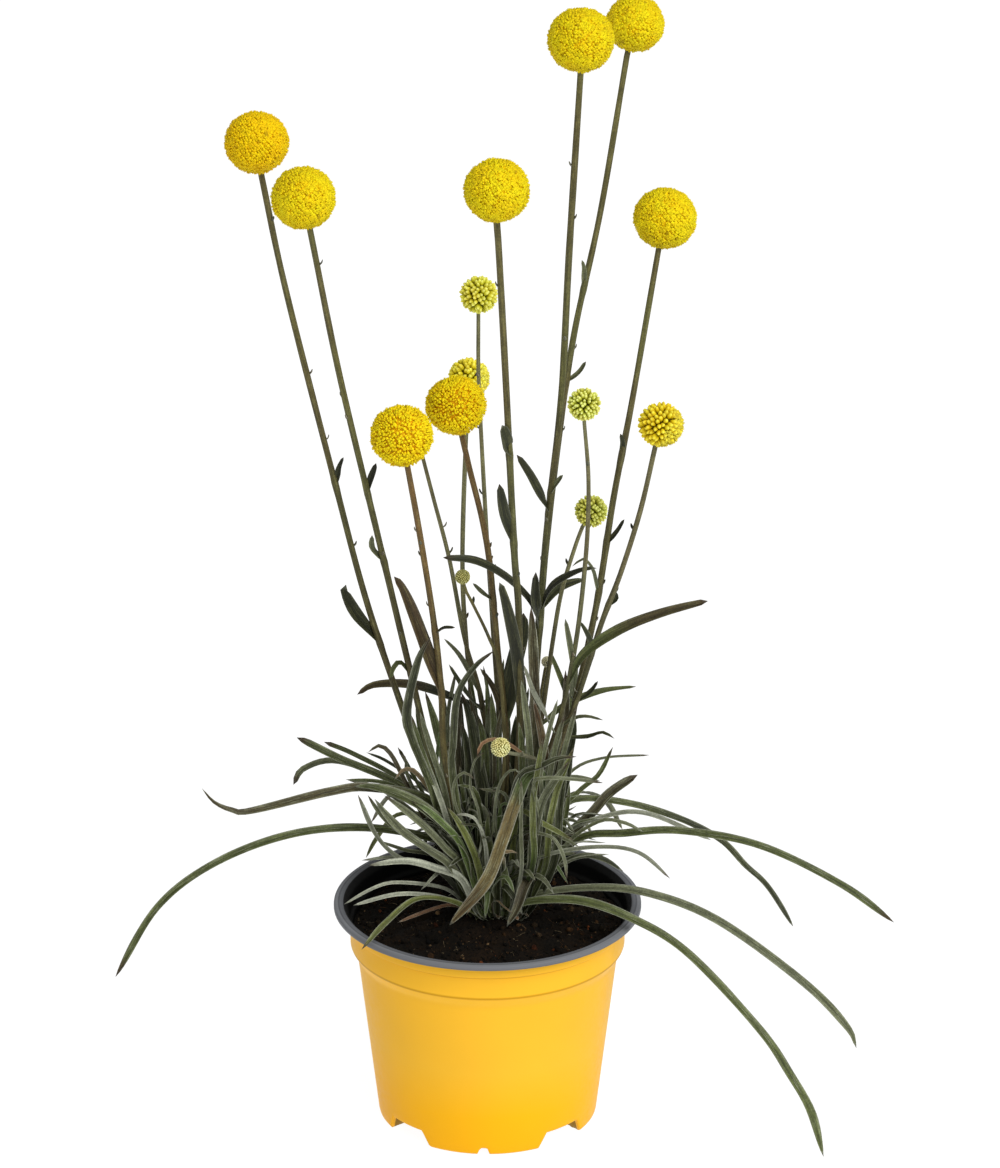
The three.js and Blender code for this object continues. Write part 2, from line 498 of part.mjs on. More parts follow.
// Height of the soil: a low mound under the crown with crumbs made by crossed waves.
function soilHeight(x, y) {
  const reach = Math.min(Math.hypot(x - CROWN_CENTRE[0], y - CROWN_CENTRE[1]) / COLLAR_RADIUS, 1);
  const mound = SOIL_MOUND * (1 - reach * reach);
  const square = CRUMB_HEIGHTS[0] * Math.sin(0.31 * x + 0.7) * Math.cos(0.27 * y);
  const slanted = CRUMB_HEIGHTS[1] * Math.sin(0.53 * y - 0.41 * x);
  return SOIL_EDGE_HEIGHT + mound + square + slanted;
}

function soilSolid(crown) {
  const side = insideProfile(GAP);
  const [edgeRadius] = side[side.length - 1];
  side.pop();
  const top = [];
  for (let ring = 0; ring <= SOIL_RINGS; ring += 1) {
    top.push([edgeRadius * (1 - ring / SOIL_RINGS), SOIL_EDGE_HEIGHT]);
  }
  const points = [...side, ...top].map(([r, z]) => new THREE.Vector2(Math.max(r, 0), z));
  const geometry = new THREE.LatheGeometry(points, SOIL_SEGMENTS);
  geometry.rotateX(Math.PI / 2);
  const places = geometry.getAttribute('position');
  for (let i = 0; i < places.count; i += 1) {
    if (Math.abs(places.getZ(i) - SOIL_EDGE_HEIGHT) < CLOSE_TO_AXIS * SOIL_EDGE_HEIGHT) {
      places.setZ(i, soilHeight(places.getX(i), places.getY(i)));
    }
  }
  const filled = solidFromGeometry(geometry).subtract(recesses(WALL + GAP));
  return mainBody(filled.subtract(crown));
}

// ---------------------------------------------------------------- crown, stems and leaves

// A squat lobed body; margin makes it larger all round.
function crownSolid(margin) {
  const ball = new THREE.SphereGeometry(1, 20, 10);
  ball.rotateX(Math.PI / 2);
  const places = ball.getAttribute('position');
  for (let i = 0; i < places.count; i += 1) {
    const point = new THREE.Vector3().fromBufferAttribute(places, i);
    const bulge = CROWN_LOBE_DEPTH * Math.sin(CROWN_LOBES * Math.atan2(point.y, point.x));
    const lobe = 1 + bulge * Math.hypot(point.x, point.y);
    places.setXYZ(i,
      CROWN_CENTRE[0] + point.x * (CROWN_RADII[0] * lobe + margin),
      CROWN_CENTRE[1] + point.y * (CROWN_RADII[1] * lobe + margin),
      CROWN_CENTRE[2] + point.z * (CROWN_RADII[2] + margin));
  }
  return solidFromGeometry(ball);
}

// The middle line of a stem, from inside the crown to inside its globe.
function stemLine(stem) {
  const head = vector(stem.head);
  const last = vector(stem.through[stem.through.length - 1]);
  const depth = Math.max(stem.size - STEM_INTO_HEAD, LEAST_STEM_DEPTH * stem.size);
  const end = head.clone().add(last.sub(head).setLength(depth));
  return [...alongCurve([vector(stem.base), ...stem.through.map(vector)], STEM_STEPS), end];
}

function stemSolid(stem, line, margin) {
  const facing = new THREE.Vector3(0, -1, 0);
  const sections = line.map((_, i) => {
    const radius = THREE.MathUtils.lerp(stem.radii[0], stem.radii[1], i / (line.length - 1));
    return roundSection(radius + margin, STEM_SIDES);
  });
  const centres = line.map((point) => point.clone());
  if (margin > 0) {
    const last = centres.length - 1;
    const up = centres[last].clone().sub(centres[last - 1]).setLength(margin);
    const down = centres[0].clone().sub(centres[1]).setLength(margin);
    centres[last].add(up);
    centres[0].add(down);
  }
  return sweep(centres, sections, facing);
}

// Share of the full width that a leaf has at t: slim at the base, broad beyond the middle, pointed.
const leafOutline = (t) => (
  LEAF_SLIM_SHARE + (1 - LEAF_SLIM_SHARE) * Math.sin(Math.PI * Math.min(1, 0.15 + t)) ** 0.7);

function leafSolid(leaf, line) {
  const last = line.length - 1;
  const sections = line.map((_, i) => {
    if (i === last) return null;
    const half = (leaf.width / 2) * leafOutline(i / last);
    const rise = 2 * half * LEAF_CHANNEL;
    return [[-half, rise], [0, -LEAF_THICKNESS / 2], [half, rise], [0, LEAF_THICKNESS / 2]];
  });
  return sweep(line, sections, leaf.facing);
}

function distanceToLine(point, line) {
  let best = Infinity;
  for (let i = 0; i + 1 < line.length; i += 1) {
    const segment = new THREE.Line3(line[i], line[i + 1]);
    const nearest = segment.closestPointToPoint(point, true, new THREE.Vector3());
    best = Math.min(best, nearest.distanceTo(point));
  }
  return best;
}

// True where a leaf's line keeps clear of every obstacle, from the first point that matters.
function isClear(fine, halfWidth, obstacles, from) {
  return fine.every((point, i) => i < from || obstacles.every((obstacle) => (
    distanceToLine(point, obstacle.line) > halfWidth + obstacle.radius + LEAF_CLEARANCE)));
}

// Bends a leaf aside in growing steps until it passes everything that grows beside it.
function bentClear(points, halfWidth, obstacles, from) {
  for (let step = 0; step <= SWAY_STEPS; step += 1) {
    const size = Math.ceil(step / 2) * SWAY_STEP * (step % 2 === 0 ? 1 : -1);
    const moved = points.map((point, i) => (
      point.clone().addScaledVector(SWAY_DIRECTION, size * Math.min(1, i / 2))));
    const fine = alongCurve(moved, LEAF_FINE_STEPS);
    if (isClear(fine, halfWidth, obstacles, from)) return moved;
  }
  return points;
}

const radiusOf = (stem) => (stem.radii[0] + stem.radii[1]) / 2;

// A globe as an obstacle is a short upright line through its middle.
const globeObstacle = (stem) => ({
  line: [vector(stem.head), vector(stem.head).add(new THREE.Vector3(0, 0, 0.1))],
  radius: stem.size,
});

const stemLines = STEMS.map(stemLine);
const stemObstacles = STEMS.map((stem, i) => ({ line: stemLines[i], radius: radiusOf(stem), owner: i }));
const globeObstacles = STEMS.map(globeObstacle);

const FRONT_FACING = new THREE.Vector3(0, -0.55, 0.84);
const UPWARD = new THREE.Vector3(0.1, 0.15, 0.98);
const BASE_POINTS_IN_CROWN = 6;  // fine steps of a leaf that may still touch its neighbours

function backLeaf(i) {
  const t = i / (BACK_LEAF_COUNT - 1);
  const wave = 0.5 + 0.5 * Math.sin(2.4 * i + 0.6);
  const angle = THREE.MathUtils.degToRad(THREE.MathUtils.lerp(BACK_FAN[0], BACK_FAN[1], t));
  const reach = THREE.MathUtils.lerp(BACK_REACH[0], BACK_REACH[1], wave);
  const rise = THREE.MathUtils.lerp(BACK_RISE[0], BACK_RISE[1], 0.5 + 0.5 * Math.cos(1.7 * i));
  const width = THREE.MathUtils.lerp(BACK_WIDTH[0], BACK_WIDTH[1], wave);
  const place = (share, height) => {
    const out = BACK_START + (reach - BACK_START) * share;
    const swing = angle + 0.12 * share * Math.sin(3.1 * i);
    return [CROWN_CENTRE[0] + out * Math.cos(swing), CROWN_CENTRE[1] + out * Math.sin(swing), height];
  };
  return {
    width,
    path: [place(0, 92), place(0.18, 100 + 0.7 * rise), place(0.5, 100 + rise),
      place(0.8, 98 + 0.75 * rise), place(1, 92 + 0.35 * rise)],
    facing: UPWARD,
  };
}

function basalLeaves() {
  const chosen = BASAL_LEAVES.map((leaf) => ({ ...leaf, facing: FRONT_FACING }));
  for (let i = 0; i < BACK_LEAF_COUNT; i += 1) chosen.push(backLeaf(i));
  return chosen.map((leaf) => {
    const obstacles = [...stemObstacles, ...globeObstacles];
    const points = bentClear(leaf.path.map(vector), leaf.width / 2, obstacles, BASE_POINTS_IN_CROWN);
    return { ...leaf, line: leafLine(points) };
  });
}

function stemLeaves(placed) {
  const obstacles = placed.map((leaf) => ({ line: leaf.line, radius: leaf.width / 2, owner: -1 }));
  return STEM_LEAVES.map((leaf) => {
    const owner = leaf.stem - 1;
    const root = pointAtHeight(stemLines[owner], leaf.from);
    const others = [...stemObstacles, ...obstacles].filter((obstacle) => obstacle.owner !== owner);
    const points = bentClear([root, ...leaf.path.map(vector)], leaf.width / 2,
      [...others, ...globeObstacles], 0);
    const line = leafLine(points);
    obstacles.push({ line, radius: leaf.width / 2, owner });
    return { ...leaf, owner, line, facing: FRONT_FACING };
  });
}

// ---------------------------------------------------------------- globes

// Directions spread evenly over a ball on a spiral.
function spiralDirections(count) {
  const turn = Math.PI * (3 - Math.sqrt(5));
  return Array.from({ length: count }, (_, i) => {
    const z = 1 - (2 * (i + 0.5)) / count;
    const r = Math.sqrt(1 - z * z);
    return new THREE.Vector3(r * Math.cos(turn * i), r * Math.sin(turn * i), z);
  });
}

// Corner numbers of the triangles that join neighbouring directions.
function neighbourTriangles(directions) {
  const hull = new ConvexHull().setFromPoints(directions);
  return hull.faces.map((face) => {
    const corners = [];
    let edge = face.edge;
    do {
      corners.push(directions.indexOf(edge.head().point));
      edge = edge.next;
    } while (edge !== face.edge);
    return corners;
  });
}

// A globe packed with florets: each floret is a blunt point, and the gaps between them are valleys.
function globeSolid(stem, socket) {
  const directions = spiralDirections(stem.florets);
  const faces = neighbourTriangles(directions);
  const positions = directions.map((direction, i) => (
    direction.clone().multiplyScalar(stem.size * (1 - FLORET_UNEVENNESS * Math.abs(Math.sin(5 * i))))));
  const valleyOf = faces.map((face) => {
    const middle = new THREE.Vector3();
    face.forEach((corner) => middle.add(directions[corner]));
    positions.push(middle.setLength(stem.size * FLORET_VALLEY));
    return positions.length - 1;
  });
  const leftOf = new Map();
  faces.forEach((face, f) => {
    face.forEach((a, k) => leftOf.set(`${a},${face[(k + 1) % 3]}`, valleyOf[f]));
  });
  const triangles = [];
  faces.forEach((face, f) => {
    face.forEach((a, k) => {
      const b = face[(k + 1) % 3];
      triangles.push(a, leftOf.get(`${b},${a}`), valleyOf[f]);
    });
  });
  const upright = new THREE.Vector3(0, 0, 1);
  const axis = vector(stem.head).sub(vector(stem.through[stem.through.length - 1])).normalize();
  const turn = new THREE.Quaternion().setFromUnitVectors(upright, axis);
  positions.forEach((point) => {
    point.z *= HEAD_SQUASH;
    point.applyQuaternion(turn).add(vector(stem.head));
  });
  return mainBody(solidFrom(positions, triangles).subtract(socket));
}

// ---------------------------------------------------------------- assembly

const plant = new THREE.Group();

const crown = crownSolid(0);
const basal = basalLeaves();
const growing = stemLeaves(basal);
const sockets = STEMS.map((stem, i) => stemSolid(stem, stemLines[i], GAP));
const stems = STEMS.map((stem, i) => {
  const own = growing.filter((leaf) => leaf.owner === i).map((leaf) => leafSolid(leaf, leaf.line));
  return joined([stemSolid(stem, stemLines[i], 0), ...own]);
});

const leafBodies = basal.map((leaf) => leafSolid(leaf, leaf.line));
const rosette = mainBody(joined([crown, ...leafBodies]).subtract(joined(sockets)));

plant.add(named('pot', potSolid(), 'pot', 0.45));
plant.add(named('soil', soilSolid(crownSolid(GAP)), 'soil', 0.95));
plant.add(named('leaf_rosette', rosette, 'leaf', 0.7));
STEMS.forEach((stem, i) => {
  const number = String(i + 1).padStart(2, '0');
  plant.add(named(`flower_stem_${number}`, mainBody(stems[i]), 'stem', 0.75));
  plant.add(named(`flower_head_${number}`, globeSolid(stem, sockets[i]), stem.colour, 0.8));
});

export default plant;
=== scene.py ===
"""Looks of a potted billy buttons plant: a yellow nursery pot, potting soil, a clump of long narrow
leaves, and seventeen flower stems that each carry one globe of florets.

Shapes are worked out in millimetres in the frame of the CAD (X to the right, Y to the back, Z up,
origin in the middle of the pot's underside) and become metres when a piece is made.
"""

import math

import bpy
import numpy as np
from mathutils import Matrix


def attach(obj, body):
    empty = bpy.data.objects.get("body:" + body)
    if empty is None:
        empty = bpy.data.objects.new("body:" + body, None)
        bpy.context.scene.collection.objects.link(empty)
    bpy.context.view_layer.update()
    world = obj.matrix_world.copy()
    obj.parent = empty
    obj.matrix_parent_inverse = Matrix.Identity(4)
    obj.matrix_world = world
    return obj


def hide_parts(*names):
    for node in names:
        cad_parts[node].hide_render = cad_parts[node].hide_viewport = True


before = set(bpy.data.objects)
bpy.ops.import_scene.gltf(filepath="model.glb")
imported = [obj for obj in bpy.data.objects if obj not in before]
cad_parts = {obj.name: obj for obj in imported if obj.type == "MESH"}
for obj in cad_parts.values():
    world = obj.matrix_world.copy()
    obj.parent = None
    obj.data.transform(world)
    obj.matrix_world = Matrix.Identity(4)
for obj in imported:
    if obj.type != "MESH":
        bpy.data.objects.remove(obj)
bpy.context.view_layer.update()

MM = 0.001
GOLDEN_TURN = math.pi * (3 - math.sqrt(5))

# ------------------------------------------------------------------ camera

CAMERA_PLACE = (0.00528, -2.17698, 1.11612)
CAMERA_PITCH = 21.9              # degrees below the horizontal
CAMERA_LENS = 174.97
SENSOR_WIDTH = 36

# ------------------------------------------------------------------ floor and light

FLOOR_REACH = 9
FLOOR_GREY = 0.14
FLOOR_GLOW = 0.96                # keeps the paper nearly white, with a soft shadow
SKY_STRENGTH = 0.42
SUN_STRENGTH = 2.4
SUN_SPREAD = 40                  # degrees, for soft shadows
SUN_TURN = (48, 0, 34)           # degrees

# ------------------------------------------------------------------ pot, millimetres

RIM_HEIGHT = 97
RIM_RADIUS = 65
LIP_INNER_RADIUS = 61
LIP_UNDERSIDE = 94.4
NECK_RADIUS = 60.1               # between the collar and the flange
COLLAR_RADIUS = 58.1
COLLAR_TOP = 88.6
COLLAR_BOTTOM = 78.6
SHOULDER_RADIUS = COLLAR_RADIUS + 1.4
SHOULDER_HEIGHT = COLLAR_TOP + 0.4
BODY_TOP_RADIUS = 55.1
BODY_TOP = 73.8
FOOT_RADIUS = 46.37              # the wall's line carried down to the surface
WALL = 1.2
POT_SEGMENTS = 336
CORNER_STEPS = 4                 # of each rounded corner of the profile
LONGEST_STEP = 3.4               # of the profile
WALL_TAPER = (BODY_TOP_RADIUS - FOOT_RADIUS) / BODY_TOP

FOOT_COUNT = 4
FIRST_CHANNEL_ANGLE = 43         # degrees from +X
CHANNEL_WIDTH = (24, 17.5)       # at the surface and at its roof
CHANNEL_HEIGHT = 7
CHANNEL_START = 17
NOTCH_WIDTH = (5, 3)
NOTCH_HEIGHT = 3
NOTCH_START = 38
RECESS_SLOPE = 1.5               # length of the slope at a recess's inner end
FOOT_ZONE = 22                   # height up to which the feet shape the wall
WALL_BAND = 2.5                  # how far inside the foot's radius the wall's taper still counts
DRAIN_RADIUS = 2.6
DRAIN_DISTANCE = 31
DRAIN_SIDES = 32
DRILL_REACH = 4                  # above and below the roof of a channel

# ------------------------------------------------------------------ soil and crown

SOIL_EDGE_HEIGHT = 86.5
SOIL_MOUND = 4.5
SOIL_GAP = 0.3                   # between the soil and the pot
SOIL_BOTTOM = 14
SOIL_RADIUS = COLLAR_RADIUS - WALL - SOIL_GAP
SOIL_RINGS = 74
SOIL_SEGMENTS = 210
CRUMB_COUNT = 1800
CRUMB_SIZES = (0.5, 1.7)
CLOD_COUNT = 260
CLOD_SIZES = (1.5, 3.8)
CRUMB_KINDS = 6
FIBRE_COUNT = 420
FIBRE_RADII = (0.13, 0.06)
FIBRE_POINTS = 6
CROWN_CENTRE = np.array((5, 9.5, 87))
CROWN_RADII = (14.5, 14.5, 9.5)

# ------------------------------------------------------------------ the plant
# Each flower stem: its bark, what its globe looks like, its petals, its radii at foot and neck, its
# globe's radius, where it leaves the crown, the places it passes, and its globe's middle.
STEM_ROWS = [
    ("sage", "full", "amber", (1.5, 1.2), 13.1, (-6, 10, 95), (-24, 10, 146), (-36, 8, 183),
     (-50.4, 8, 231), (-63, 10, 283), (-82, 13, 365), (-91.4, 15, 414), (-93, 15, 427)),
    ("sage", "full", "yellow", (1.5, 1.2), 12.9, (-5, 5, 95), (-21, 0, 152), (-32.5, -8, 208),
     (-44.3, -16, 267), (-59.3, -26, 342), (-70, -35, 406), (-72.5, -37, 420.4)),
    ("sage", "full", "yellow", (1.6, 1.3), 13.2, (11, 8, 96), (18, 4, 169), (24, -8, 261), (30, -16, 328),
     (33, -22, 394), (37, -30, 470), (37, -31, 483.5)),
    ("sage", "full", "yellow", (1.5, 1.2), 12, (15, 21, 95), (17, 29, 150), (21, 30, 196), (24, 33, 239),
     (29.6, 38, 290), (36, 44, 335), (46.8, 52, 386), (57.4, 60, 451), (60.6, 62, 463)),
    ("sage", "full", "yellow", (1.6, 1.3), 13, (6, 4, 97), (13, -8, 165), (13, -24, 235), (11, -32, 269),
     (8, -44, 338), (5, -55, 401), (4, -57, 417), (4, -60, 431)),
    ("sage", "full", "yellow", (1.5, 1.2), 13.1, (16, 12, 96), (31, 14, 155), (37, 16, 182), (46, 20, 226),
     (52.4, 25, 269), (60, 30, 311), (70.6, 40, 374), (73, 42, 386)),
    ("pale", "bud", "lime", (1.1, 0.8), 8.1, (4, 20, 96), (5, 17, 163), (2, 18, 218), (-0.6, 20, 262),
     (-3.4, 24, 319), (-3.6, 26, 350), (-3.4, 27, 358)),
    ("pale", "opening", "chartreuse", (1.2, 0.9), 9, (0, 23, 95), (-4, 25, 151), (-9, 32, 203),
     (-10.5, 40, 236), (-9, 52, 285), (-7.6, 56, 302), (-7.8, 58, 310.5)),
    ("brown", "golden", "orange", (1.4, 1.2), 12.6, (4, 10, 98), (8, 2, 161), (4, -6, 218), (0, -12, 263),
     (-7.4, -18, 300), (-10, -20, 313), (-12.6, -22, 327.6)),
    ("brown", "golden", "orange", (1.5, 1.2), 12.9, (-3, 0, 95), (-17, -8, 161), (-19, -16, 200),
     (-22, -24, 235), (-27.5, -36, 279), (-31.8, -46, 310), (-34, -50, 325)),
    ("pale", "bud", "pale_lime", (1.2, 0.8), 6.9, (12, 0, 96), (22, -7, 156), (30, -12, 185),
     (36.6, -20, 224), (40.4, -28, 267), (41, -35, 300), (39, -40, 328), (39, -41, 335)),
    ("pale", "opening", "gold_bud", (1.3, 1.0), 9.5, (16, 5, 96), (27, 2, 156), (38.6, -6, 196),
     (47, -12, 228), (55, -18, 254), (62.4, -24, 283), (68, -30, 313), (70, -32, 323)),
    ("pale", "bud", "olive", (1.2, 0.8), 7, (10, 15, 97), (20, 11, 156), (27.4, 8, 213), (31, 6, 236),
     (36, 4, 255), (39, 2, 265), (42.8, 0, 273.3)),
    ("sage", "young", "grey_bud", (1.0, 0.65), 3.1, (1, -2, 96), (7, -12, 165), (5, -18, 210),
     (1, -21, 225), (-5, -24, 240), (-9, -26, 249), (-10, -27, 255)),
    ("silver", "young", "cream", (1.0, 0.7), 4.1, (7, -4, 95), (21, -15, 149), (22, -20, 168),
     (16, -24, 174), (9, -26, 176), (5.5, -28, 179.6)),
    ("sage", "young", "silver", (0.9, 0.6), 2.4, (7, 15, 97), (18, 18, 154), (22, 18, 181), (24, 17, 195),
     (25, 17, 199)),
    ("pale", "full", "yellow", (1.2, 0.8), 5, (-2, 16, 96), (1, 13, 146), (-2.6, 12, 184), (-9.4, 8, 213),
     (-15.6, 2, 251), (-22, -3, 280), (-27, -8, 303), (-30, -9, 311)),
]
STEMS = [dict(bark=bark, bloom=bloom, petal=petal, radii=radii, size=size, base=np.array(base, float),
              through=np.array(through, float), head=np.array(head, float))
         for bark, bloom, petal, radii, size, base, *through, head in STEM_ROWS]

# Leaves of the clump: width, tone and the places its midrib passes.
BASAL_LEAVES = [
    # long outer leaves that arch over the rim
    (3.6, "olive", (-8, 10, 96), (-14, 8, 117), (-45, 4, 128), (-79, -2, 129), (-112, -8, 119),
     (-138, -12, 100), (-157, -17, 69)),
    (3.8, "olive>bronze", (-7, 3, 96), (-9, 0, 122), (-24, -5, 145), (-49, -7, 152), (-66, -9, 151),
     (-99, -13, 144), (-107, -14, 145), (-114, -15, 149), (-119, -16, 156)),
    (3.4, "olive", (19, 8.5, 93), (37, 9, 120), (58, 4, 126), (81, 0, 129), (114, -6, 125), (148, -12, 110),
     (171, -16, 94)),
    (3.2, "olive>dark", (18, 20, 95), (27, 28, 121), (37, 32, 129), (59, 40, 124), (82, 46, 114),
     (100, 48, 103), (111, 50, 90), (121, 54, 78), (133, 60, 56)),
    (3.6, "grey", (13, -6, 94), (18, -9, 103), (43, -16, 110), (68, -24, 111), (97, -32, 102),
     (132, -45, 80), (150, -50, 62), (154, -52, 53)),
    (4.2, "olive", (8, -7, 93), (16, -13, 102), (38, -22, 107), (59, -31, 103.5), (83, -41, 92),
     (113, -54, 63), (126, -58, 44), (135, -61, 28), (140.5, -65, 9)),
    # left side
    (3.8, "olive", (-10, 14, 95), (-16, 17, 122), (-37, 22, 140), (-63, 28, 150), (-81, 32, 158)),
    (3.4, "olive>grey", (-10, 18, 94), (-20, 23, 119), (-37, 28, 137), (-63, 36, 145), (-78, 40, 140),
     (-83, 41, 132)),
    (2.2, "olive", (-7, 22, 94), (-22, 29, 124), (-37, 35, 137), (-57, 44, 145), (-70, 48, 149)),
    (1.8, "dark", (-4, 24, 94), (-16, 34, 121), (-28, 38, 133), (-43, 43, 142), (-52, 46, 145)),
    (1.6, "olive", (-9, 16, 96), (-23, 20, 128), (-32, 22, 146), (-38, 22, 158)),
    (1.6, "grey", (-10, 12, 96), (-26, 13, 126), (-45, 18, 140), (-60, 22, 143)),
    (2.8, "silver", (-8, 2, 94), (-20, -4, 112), (-37, -10, 121), (-47, -14, 134), (-54, -16, 153)),
    (2.6, "grey", (-9, 5, 95), (-24, -2, 120), (-39, -8, 134), (-46, -10, 143), (-50, -12, 151)),
    (2, "grey", (-9, 7, 94), (-20, 2, 115), (-35, -6, 123), (-46, -10, 129)),
    (2.2, "moss", (-10, 13, 94), (-24, 19, 124), (-38, 23, 126), (-47, 26, 114), (-52, 27, 104)),
    (2, "pearl", (-7, -1, 93), (-18, -8, 106), (-37, -17, 113), (-47, -22, 113), (-60, -28, 108)),
    (1.8, "pearl", (-5, -4, 92), (-18, -13, 104), (-37, -22, 110), (-56, -31, 109)),
    (2.2, "silver", (-9, 4, 93), (-18, 0, 108), (-37, -6, 119), (-53, -10, 120)),
    (3.2, "moss", (-3, -5, 92), (-16, -18, 105), (-30, -32, 112), (-42, -46, 108), (-52, -57, 101)),
    (1.8, "dry", (-8, 0, 92), (-16, -3, 96), (-27, -7, 94.5), (-38, -12, 92)),
    # front and middle
    (5.6, "green>green>green>tan>russet", (13, -3, 95), (22, -14, 130), (24.5, -22, 154),
     (21.5, -26, 167), (16.5, -29, 167), (11.4, -31, 155), (6, -33, 139), (-1, -35, 121), (-16, -36, 102)),
    (5, "bronze", (10, -6, 93), (17, -14, 112), (15.5, -19, 112), (12.5, -24, 104), (8, -28, 97.5)),
    (2.6, "dark", (4, -7, 93), (6, -12, 109), (11, -18, 107), (15, -22, 100)),
    (2.6, "grey", (12, -4, 95), (17, -10, 112), (23, -15, 114), (28, -20, 109)),
    (2.2, "silver", (11, -5, 95), (14, -11, 115), (26, -17, 126), (47, -25, 133), (63, -31, 133),
     (76, -37, 124)),
    (1.8, "green", (-2, -6, 93), (-5, -10, 122), (-10, -14, 139), (-17, -16, 143)),
    (2.6, "olive", (4, -7, 94), (2, -12, 122), (0, -16, 137), (1, -18, 146)),
    (3, "dark", (-4, -4, 94), (-7, -9, 116), (-14, -14, 129), (-21, -16, 137)),
    (2.6, "green", (1, -7, 93), (0, -12, 107), (0, -17, 106), (-1, -22, 98)),
    (4, "olive>dark", (-8, -2, 94), (-22, -9, 148), (-31, -16, 177), (-33, -20, 192), (-28, -22, 216),
     (-23, -23, 227)),
    (3.2, "olive>dark", (-5, -5, 94), (-14, -18, 159), (-14, -25, 180), (-12, -29, 203), (-5, -32, 217),
     (3, -33, 225)),
    (1.8, "olive", (-9, 8, 95), (-21, 6, 138), (-27, 4, 166), (-30, 2, 184)),
    (4.4, "olive>bronze", (19, 0, 95), (22.2, -1.5, 128), (22.4, -1.5, 145), (21, -3, 160), (20, -10, 190),
     (19, -15, 216), (18, -18, 238)),
    (1.4, "green", (-9, 1, 95), (-19, -3, 138), (-21, -5, 165), (-18, -6, 184)),
    # right side
    (1.8, "grey", (19, 16, 95), (25, 19, 132), (36, 22, 147), (49, 26, 151), (69, 34, 149)),
    (2.2, "olive", (20, 14, 95), (29, 15, 128), (39, 17, 140), (47, 18, 147), (53, 20, 159)),
    (1.8, "grey", (17, 21, 95), (24, 25, 130), (33, 28, 141), (48, 34, 137)),
    (4.4, "dark>bronze", (20, 17, 94), (31, 23, 112), (44, 28, 124), (52, 32, 132), (64, 36, 139)),
    (2.2, "silver", (21, 12, 95), (31, 15, 119), (48, 18, 127), (67, 18, 129), (95, 17, 117)),
    (1.8, "grey", (21, 6, 95), (33, 5, 120), (47, 3, 132), (57, 2, 132), (66, 1, 128)),
    (2.4, "grey", (20, 4, 95), (24, 1, 118), (30, -3, 127), (39, -8, 125)),
    (1.6, "green", (18, -1, 94), (23, -6, 116), (28, -11, 119), (34, -17, 112)),
    (3, "dark", (20, 18, 93), (31, 22, 103), (41, 23, 107), (50, 23, 105), (58, 22, 100)),
    # inner leaves that stand up among the stems
    (5.6, "dark", (-1, 4, 95), (-1, 3, 136), (-4, 6, 157), (-7, 9, 175), (-11, 11, 188)),
    (4.2, "bronze>brown", (15, -2, 95), (24, -12, 149), (24, -18, 167), (22, -21, 183), (19, -23, 199)),
    (3.2, "olive", (7, -5, 95), (14, -14, 150), (14.5, -18, 170), (14, -20, 180), (13, -21, 188)),
    (4.6, "grey", (17, -2, 95), (24, -12, 150), (26.5, -16, 166), (29, -20, 177), (31, -22, 184)),
    (4, "dark", (20, 8, 95), (32, 2, 147), (34, 2, 163), (36, 0, 175), (36, -2, 184)),
    (4.4, "dark>olive", (0, 6, 95), (-7, 4.5, 121), (-15, 2, 147), (-19, 2, 165), (-23, 0, 182),
     (-26, 0, 193)),
    (2.4, "olive", (-9, 5, 94), (-23, 5, 131), (-33, 8, 141), (-43, 11, 146), (-60, 15, 146)),
]

